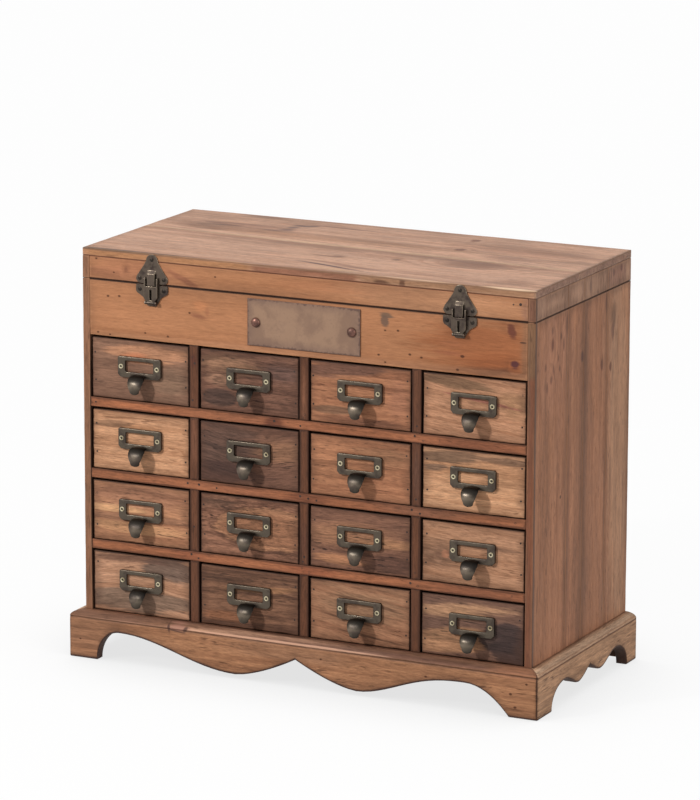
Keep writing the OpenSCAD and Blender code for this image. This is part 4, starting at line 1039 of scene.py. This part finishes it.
def scallop(u, foot, run, arch, lobeAt, low, cusp, rise, fall):
    # a curve up from the foot to the arch, half a cosine down to the lobe, a power curve up to the middle
    archAt = foot - run
    climb = arch * np.clip(1 - ((u - archAt) / run) ** 2, 0, 1) ** (rise / 2)
    share = np.clip((archAt - u) / (archAt - lobeAt), 0, 1) ** fall
    drop = low + (arch - low) * (1 + np.cos(math.pi * share)) / 2
    middle = low + (cusp - low) * np.clip((lobeAt - u) / lobeAt, 0, 1) ** 1.5
    return np.where(u >= foot, 0, np.where(u >= archAt, climb, np.where(u >= lobeAt, drop, middle)))


def halfLines(end, half):
    # places along half a plinth board, from its end to its middle, closer together where the outline turns
    archAt = half["foot"] - half["run"]
    arc = archAt + half["run"] * np.cos(np.linspace(0, math.pi / 2, 14))
    fall = np.linspace(archAt, half["lobeAt"], 16)
    toCusp = half["lobeAt"] * (1 - np.linspace(0, 1, 14) ** 0.8)
    return np.concatenate([np.linspace(end, half["foot"], 7)[:-1], arc[:-1], fall[:-1], toCusp])


def plinthSection():
    # from the inner bottom edge round the outside to the top; a point's height is
    # bottom x (1 - share) + rise, so the points with share 1 stay level over the scallops
    thick, quirk = plinth["thick"], plinth["thick"] - plinth["quirkDeep"]
    shoulder = plinth["high"] - plinth["moulding"]
    neck = shoulder - plinth["quirkHigh"]
    curve = np.linspace(0, math.pi / 2, 9)
    section = [(0, 0, 0), (4, 0, 0), (thick - 1.4, 0, 0), (thick - 0.5, 0, 0.35), (thick, 0, 1.4)]
    section += [(thick, share, neck * share) for share in (0.15, 0.35, 0.55, 0.75, 0.93)]
    section += [(thick - 0.15, 1, neck), (quirk, 1, neck + 0.15), (quirk, 1, shoulder - 0.1)]
    section += [(thick * math.cos(a), 1, shoulder + plinth["moulding"] * math.sin(a)) for a in curve]
    section += [(0, 1, shoulder - 2), (0, 0.6, neck * 0.6)]
    return np.array(section).T


def plinthPart(ends, mitres, halves, middle, frameAt, seed):
    # the section carried along the board; past a mitre's start the inside run is drawn in by the board's
    # thickness, and each point's place along the board lies between inside and outside run by its depth
    p = plinth
    left, right = (halfLines(end, half) for end, half in zip(ends, halves))
    outside = middle + np.concatenate([-left, right[::-1][1:]])
    before, after = (scallop(np.abs(outside - middle), **half) for half in halves)
    bottom = np.where(outside < middle, before, after)[:, None]
    beyond = np.maximum(np.abs(outside) - np.where(outside < 0, *mitres), 0)
    inside = outside - np.sign(outside) * beyond * p["thick"] / p["mitreRun"]
    depth, share, rise = plinthSection()
    z = bottom * (1 - share) + rise
    s, depth = np.broadcast_arrays(inside[:, None], depth)
    at = s + (outside - inside)[:, None] * depth / p["thick"]
    part = sweepPart(frameAt(at, depth, z) * mm)
    measures = dict(low=(s - inside[0] + p["thick"], depth, z - bottom),
                    high=(inside[-1] + p["thick"] - s, p["thick"] - depth, p["high"] - z),
                    grain=(s, z - 60, depth + 30))
    for key, measure in measures.items():
        flat = np.stack(measure, -1).reshape(-1, 3) * mm
        part[key] = np.concatenate([flat, flat[:1], flat[-1:]])
    # the moulding is worn inwards here and there, and straight down at its top
    points = part["points"]
    worn = np.clip(softNoise(points, seed, 0.03) - 0.2, 0, 1)[:, None] * p["wornDeep"] * mm
    inward = np.array([0, p["middleY"] * mm, 0.03]) - points
    inward[:, 2] = np.where(points[:, 2] > 0.047, -0.6 * np.abs(inward[:, 1]), 0)
    inward /= np.maximum(np.linalg.norm(inward, axis=1, keepdims=True), 1e-6)
    shoulder = (p["high"] - p["moulding"]) * mm
    part["points"] = points + inward * worn * (points[:, 2] > shoulder)[:, None]
    return part


def frontBoard():
    # the front: its cusp lies a little left of the middle
    middle, end = -plinth["cuspLeft"], plinth["halfWide"]
    start = end - plinth["mitreRun"]
    frameAt = lambda s, depth, z: np.stack([s, frontY - depth, z], -1)
    return plinthPart((end + middle, end - middle), (start, start), (leftHalf, rightHalf), middle,
                      frameAt, 401)


def sideBoard(side, seed):
    # a side: mitred in front and cut straight behind
    start = plinth["halfDeep"] - plinth["mitreRun"]
    frameAt = lambda s, depth, z: np.stack([side * (rightX + depth), s + plinth["middleY"], z], -1)
    return plinthPart((plinth["halfDeep"], plinth["backEnd"]), (start, math.inf), (sideHalf, backSideHalf), 0,
                      frameAt, seed)


moulding = [stain(0, 48.4, 900, 1.6, (112, 82, 68), 0.75, 0.5, ragged=1.2),
    stain(-206, 46, 64, 3.4, (116, 84, 70), 0.8, 0.5, ragged=1.2),
    # painted highlight: a pale line along the bead
    stain(-30, 45.8, 104, 2.4, (216, 168, 138), 0.75, 0.5, ragged=2.2),
    stain(110, 46, 130, 1.8, (112, 80, 70), 0.75, 0.5, ragged=1.2),
    stain(240, 45, 26, 5, (176, 120, 88), 0.7, 0.5, ragged=1.2),
    # painted shade: a dark line in the groove under the moulding
    stain(0, 42.9, 900, 0.9, (104, 74, 60), 0.6, 0.5, ragged=1.6),
    stain(-26, 44.8, 106, 0.7, (206, 160, 134), 0.8, 0.5, ragged=2.8, late=True),
    stain(-206, 44.2, 60, 0.6, (166, 124, 100), 0.8, 0.5, ragged=2.4, late=True),
    stain(-236, 24, 40, 30, (142, 102, 78), 0.6), stain(-10, 33, 60, 8, (146, 108, 84), 0.5),
    stain(60, 12, 60, 10, (150, 106, 78), 0.5)]
sideMoulding = [stain(0, 20, 900, 40, (198, 158, 126), 0.7, 0.3, ragged=0.6, face="side"),
    stain(0, 47.6, 900, 1.2, (232, 196, 164), 0.8, 0.5, ragged=1.2, face="side"),
    stain(0, 44.4, 900, 0.8, (226, 186, 154), 0.75, 0.5, ragged=1.2, face="side"),
    # painted shade: a dark line in the groove under the moulding
    stain(0, 42.9, 900, 0.8, (96, 68, 56), 0.6, 0.5, ragged=1.2, face="side")]
chip = [stain(-138, 45.4, 9.6, 3.0, (160, 114, 98), 0.75, ragged=2.4, late=True),
    stain(-147.5, 44, 1.5, 4.6, (70, 46, 40), 0.85, 0.5, turn=12, ragged=1.0, late=True),
    stain(-138, 41.6, 10, 0.8, (74, 50, 44), 0.85, 0.5, turn=-6, ragged=1.0, late=True),
    stain(-128.5, 44, 1.8, 3.4, (80, 54, 46), 0.85, 0.5, turn=-30, ragged=1.0, late=True),
    *dots((141, 30, 1.6), (183, 27, 1.4), (233, 24, 1.6), (238, 11, 1.5), (-250, 20, 1.2), (25, 33, 1.2),
        (250, 36, 1.3)),
    stain(261.2, 30, 1.0, 40, (74, 52, 44), 0.85, 0.4, ragged=1.6)]
plinthLooks = dict(plinth_front=("front", frontBoard(), moulding + chip),
                   plinth_right=("side", sideBoard(1, 402), sideMoulding),
                   plinth_left=("side", sideBoard(-1, 403), sideMoulding))
for node, (face, part, stains) in plinthLooks.items():
    skin = timber(node + "Wood", timbers["plinth"], face, (0, 0, 0), stains)
    makePiece(node + "_board", [part], [skin], node, outward=True)

print("plinth built")

# Metal fittings that keep the CAD shapes: edges are rounded and rubbed pale
latchBronze = metal("latchBronze", (89, 77, 67), (59, 48, 44), (86, 78, 64), 0.4, 0.75, True)
rubbedBronze = metal("rubbedBronze", (132, 119, 103), (88, 75, 63), (114, 105, 89), 0.35, 0.8, True)
hingeBrass = metal("hingeBrass", (150, 122, 78), (104, 80, 54), (126, 112, 80), 0.4, 0.8)
steel = metal("pinSteel", (120, 116, 110), (84, 72, 62), (110, 100, 92), 0.35, 0.85)
copper = metal("nailCopper", (116, 80, 69), (81, 55, 48), (99, 83, 70), 0.4, 0.7)
latchPlate, latchLever, hingeLeaf = (
    dict(body=latchBronze, rim=rubbedBronze, width=0.3, slotName="latch_bronze"),
    dict(body=latchBronze, rim=rubbedBronze, width=0.35, slotName="latch_bronze"),
    dict(body=hingeBrass, rim=hingeBrass, width=0.2, slotName="hinge_brass"))
fittings = dict(latch_plates=latchPlate, latch_bases=latchPlate, latch_lever_left=latchLever,
                latch_lever_right=latchLever, hinge_case_leaves=hingeLeaf, hinge_lid_leaves=hingeLeaf,
                hinge_pins=dict(body=steel, rim=steel, width=0.2, slotName="pin_steel"))
screwSpan = 6 * mm  # a solid smaller than this is a screw head
roundedAngle = math.radians(35)  # edges sharper than this are rounded


def fittingTones(node, points):
    # 1 all over, less on the lower lip of a lever, painted shade there, and on the dark heads of the small
    # screws
    heights = points[:, 2] - points[:, 2].min()
    tone = np.ones(len(points))
    if "lever" in node:
        # painted shade on the lever's lower lip
        tone = np.interp(heights, [0, 2.5 * mm, 5 * mm], [0.35, 0.5, 1.0])
    for low, high in solidBoxes(node):
        if (high - low).max() < screwSpan:
            tone[((points > low - 1e-5) & (points < high + 1e-5)).all(1)] = 0.3
    return tone.astype(np.float32)


def softened(node, body, rim, width, slotName):
    # a merged copy of the CAD mesh with its flat faces rejoined and its sharp edges rounded
    shape = bmesh.new()
    shape.from_mesh(nodes[node].data)
    bmesh.ops.remove_doubles(shape, verts=shape.verts, dist=1e-6)
    bmesh.ops.dissolve_limit(shape, angle_limit=0.01, verts=shape.verts, edges=shape.edges)
    mesh = bpy.data.meshes.new(node + "_metal")
    shape.to_mesh(mesh)
    shape.free()
    mesh.materials.append(body)
    mesh.materials.append(rim)
    mesh.polygons.foreach_set("material_index", [0] * len(mesh.polygons))
    mesh.polygons.foreach_set("use_smooth", [True] * len(mesh.polygons))
    mesh.set_sharp_from_angle(angle=roundedAngle)
    tone = fittingTones(node, meshPoints(mesh))
    mesh.attributes.new("tone", "FLOAT", "POINT").data.foreach_set("value", tone)
    piece = addObject(node + "_metal", mesh)
    bevel = piece.modifiers.new("Rounded", "BEVEL")
    bevel.width, bevel.segments, bevel.limit_method, bevel.material = width * mm, 2, "ANGLE", 1
    bevel.angle_limit = roundedAngle
    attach(piece, bodyOf[node])
    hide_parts(node)


for node, fitting in fittings.items():
    softened(node, **fitting)

# Nameplate: a bare sheet of old metal with dark worn edges, held by two domed nails
plateTones = dict(pale=(149, 118, 95), brown=(131, 102, 83), spot=(116, 88, 76), edge=(108, 82, 72),
                  rim=(84, 60, 52))


def plateMetal():
    # two clouds of noise choose the tone, and the nearness of an edge, frayed by the finer one, darkens it
    material, tree, shader = newMaterial("nameplateMetal")
    pale, brown, spot, border, rim = (paint(*tone) for tone in plateTones.values())
    low, high = (attribute(tree, key)["Vector"] for key in ("low", "high"))
    coords = objectCoords(tree)
    broad = noise(tree, coords, (40.0, 40.0, 40.0), 4.0, 0.6)
    small = noise(tree, coords, (260.0, 260.0, 260.0), 3.0, 0.6)
    colour = blend(tree, smooth(tree, broad, 0.42, 0.62), pale, brown)
    colour = blend(tree, smooth(tree, small, 0.58, 0.72, 0.0, 0.3), colour, spot)
    x, _, z = split(tree, vectorSums(tree, "MINIMUM", low, high))
    inset = timesPlus(tree, sums(tree, "SUBTRACT", small, 0.5), 0.008, sums(tree, "MINIMUM", x, z))
    colour = blend(tree, smooth(tree, inset, 0.0, 0.011, 0.5, 0.0), colour, border)
    colour = blend(tree, smooth(tree, inset, 0.0004, 0.0022, 0.8, 0.0), colour, rim)
    shader.inputs["Metallic"].default_value = 0.25
    dress(tree, shader, colour, timesPlus(tree, broad, 0.3, 0.36), small, 0.25, 0.3 * mm)
    return material


low, high = boxOf("nameplate")
plate = boardPart(low, high, 0, 1, 501, 0.45 * mm, 3 * mm, 0.5, 0.3 * mm)
makePiece("nameplate_sheet", [plate], [plateMetal()], "nameplate")
dome = [(5.0, 0.0), (4.95, 0.5), (4.5, 1.3), (3.6, 2.1), (2.3, 2.7), (1.0, 2.97)]
heads = []
for low, high in solidBoxes("nameplate_nails"):
    at = ((low[0] + high[0]) / 2, high[1], (low[2] + high[2]) / 2)
    heads.append(turnedPart(dome, at, forward, 0, 28))
makePiece("nameplate_nails_domes", heads, [copper], "nameplate_nails", outward=True)

print("fittings built")

# Stage: camera, floor and light
camera = dict(turn=26.003, rise=12.770, roll=0.172, far=4.7934, lens=212.247,
              target=(-0.0071, 0.00415, 0.2691))
white = (1, 1, 1, 1)


def aim(holder, across, over, back, place):
    # an object's three axes and its place, as the columns of its matrix
    matrix = np.eye(4)
    matrix[:3] = np.stack([across, over, back, place], -1)
    holder.matrix_world = Matrix(matrix.tolist())


def placeCamera():
    # it stands back from the target along its turn and rise, then rolls about that line
    turn, rise, roll = (math.radians(camera[key]) for key in ("turn", "rise", "roll"))
    back = np.array([math.sin(turn) * math.cos(rise), -math.cos(turn) * math.cos(rise), math.sin(rise)])
    right = np.array([math.cos(turn), math.sin(turn), 0.0])
    up = np.cross(back, right)
    data = bpy.data.cameras.new("view")
    data.lens, data.sensor_width, data.clip_end = camera["lens"], 36, 100
    holder = addObject("view", data)
    across, over = math.cos(roll) * right + math.sin(roll) * up, math.cos(roll) * up - math.sin(roll) * right
    aim(holder, across, over, back, back * camera["far"] + camera["target"])
    bpy.context.scene.camera = holder


def directRay(tree):
    # 1 for rays that should meet the white of the background: from the camera, a gloss or a glass
    path = addNode(tree, "ShaderNodeLightPath", {}).outputs
    mirrored = sums(tree, "MAXIMUM", path["Is Glossy Ray"], path["Is Transmission Ray"])
    return sums(tree, "MAXIMUM", path["Is Camera Ray"], mirrored)


def makeFloor():
    # a wide pale disc: near the chest its glow is dimmed by ambient occlusion, a painted contact shadow, and
    # a small share of plain diffuse shows the lamps' shadows; further away only its own white
    around = 64
    angle = np.linspace(0, 2 * math.pi, around, endpoint=False)
    rings = [np.stack([r * np.cos(angle), r * np.sin(angle), np.zeros(around)], -1) for r in (0.4, 2.0, 15.0)]
    ids = np.arange(len(rings) * around).reshape(-1, around) + 1
    ids = np.concatenate([ids, ids[:, :1]], 1)
    fan = [(0, a, b) for a, b in zip(ids[0, :-1].tolist(), ids[0, 1:].tolist())]
    mesh = bpy.data.meshes.new("floor")
    mesh.from_pydata(np.concatenate([[(0, 0, 0)], *rings]).tolist(), [], fan + gridFaces(ids).tolist())
    material, tree, shader = newMaterial("floorWhite")
    tree.nodes.remove(shader)
    matt = addNode(tree, "ShaderNodeBsdfDiffuse", {"Color": (0.5, 0.5, 0.5, 1)})
    far = vectorSums(tree, "LENGTH", objectCoords(tree), result=1)
    # painted contact shadow: ambient occlusion dims the glow near the chest
    openness = addNode(tree, "ShaderNodeAmbientOcclusion", {"Distance": 0.16}, samples=8).outputs["AO"]
    openness = smooth(tree, openness, 0.2, 1.0, 0.8, 1.0)
    strength = times(tree, smooth(tree, far, 0.4, 1.1, 1.04, 0.985), openness)
    glow = addNode(tree, "ShaderNodeEmission", {"Color": white, "Strength": strength})
    seen = times(tree, directRay(tree), smooth(tree, far, 0.4, 1.1, 0.91, 1.0))
    mixed = addNode(tree, "ShaderNodeMixShader", {0: seen, 1: matt.outputs[0], 2: glow.outputs[0]})
    feed(tree, tree.nodes["Material Output"].inputs["Surface"], mixed.outputs[0])
    mesh.materials.append(material)
    return addObject("floor", mesh)


def makeLamp(name, direction, far, size, power, colour):
    # a round lamp in a direction from the chest's middle, facing it
    data = bpy.data.lights.new(name, "AREA")
    data.shape, data.size, data.energy, data.color = "DISK", size, power, colour
    way = np.array(direction) / np.linalg.norm(direction)
    side = np.cross((0, 0, 1), way)
    side /= np.linalg.norm(side)
    aim(addObject(name, data), side, np.cross(way, side), way, way * far + (0, 0, 0.2))


def makeWorld(fill, ceiling):
    # an even grey that lights the chest, brighter overhead; the camera sees white
    world = bpy.data.worlds.new("studio")
    world.use_nodes = True
    tree = world.node_tree
    way = addNode(tree, "ShaderNodeTexCoord", {}).outputs["Generated"]
    grey = tree.nodes["Background"]
    grey.inputs["Color"].default_value = white
    feed(tree, grey.inputs["Strength"], smooth(tree, split(tree, way)[2], 0.15, 0.75, fill, ceiling))
    bare = addNode(tree, "ShaderNodeBackground", {"Color": white, "Strength": 1.0})
    mixed = addNode(tree, "ShaderNodeMixShader", {0: directRay(tree), 1: grey.outputs[0], 2: bare.outputs[0]})
    feed(tree, tree.nodes["World Output"].inputs["Surface"], mixed.outputs[0])
    bpy.context.scene.world = world


makeLamp("keyLamp", (-0.48, -0.70, 0.52), 3.0, 0.3, 60, (1.0, 0.98, 0.95))
makeLamp("sideLamp", (0.9, -0.3, 0.35), 3.0, 1.6, 26, (1.0, 0.97, 0.94))
makeWorld(0.22, 0.6)
bpy.context.scene.view_settings.view_transform = "Standard"
placeCamera()
makeFloor()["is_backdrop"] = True

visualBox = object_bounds()
boxes = {"cad": [[float(v) for v in corner] for corner in cadBox],
         "visual": [[float(v) for v in corner] for corner in visualBox]}
print("stage ready")
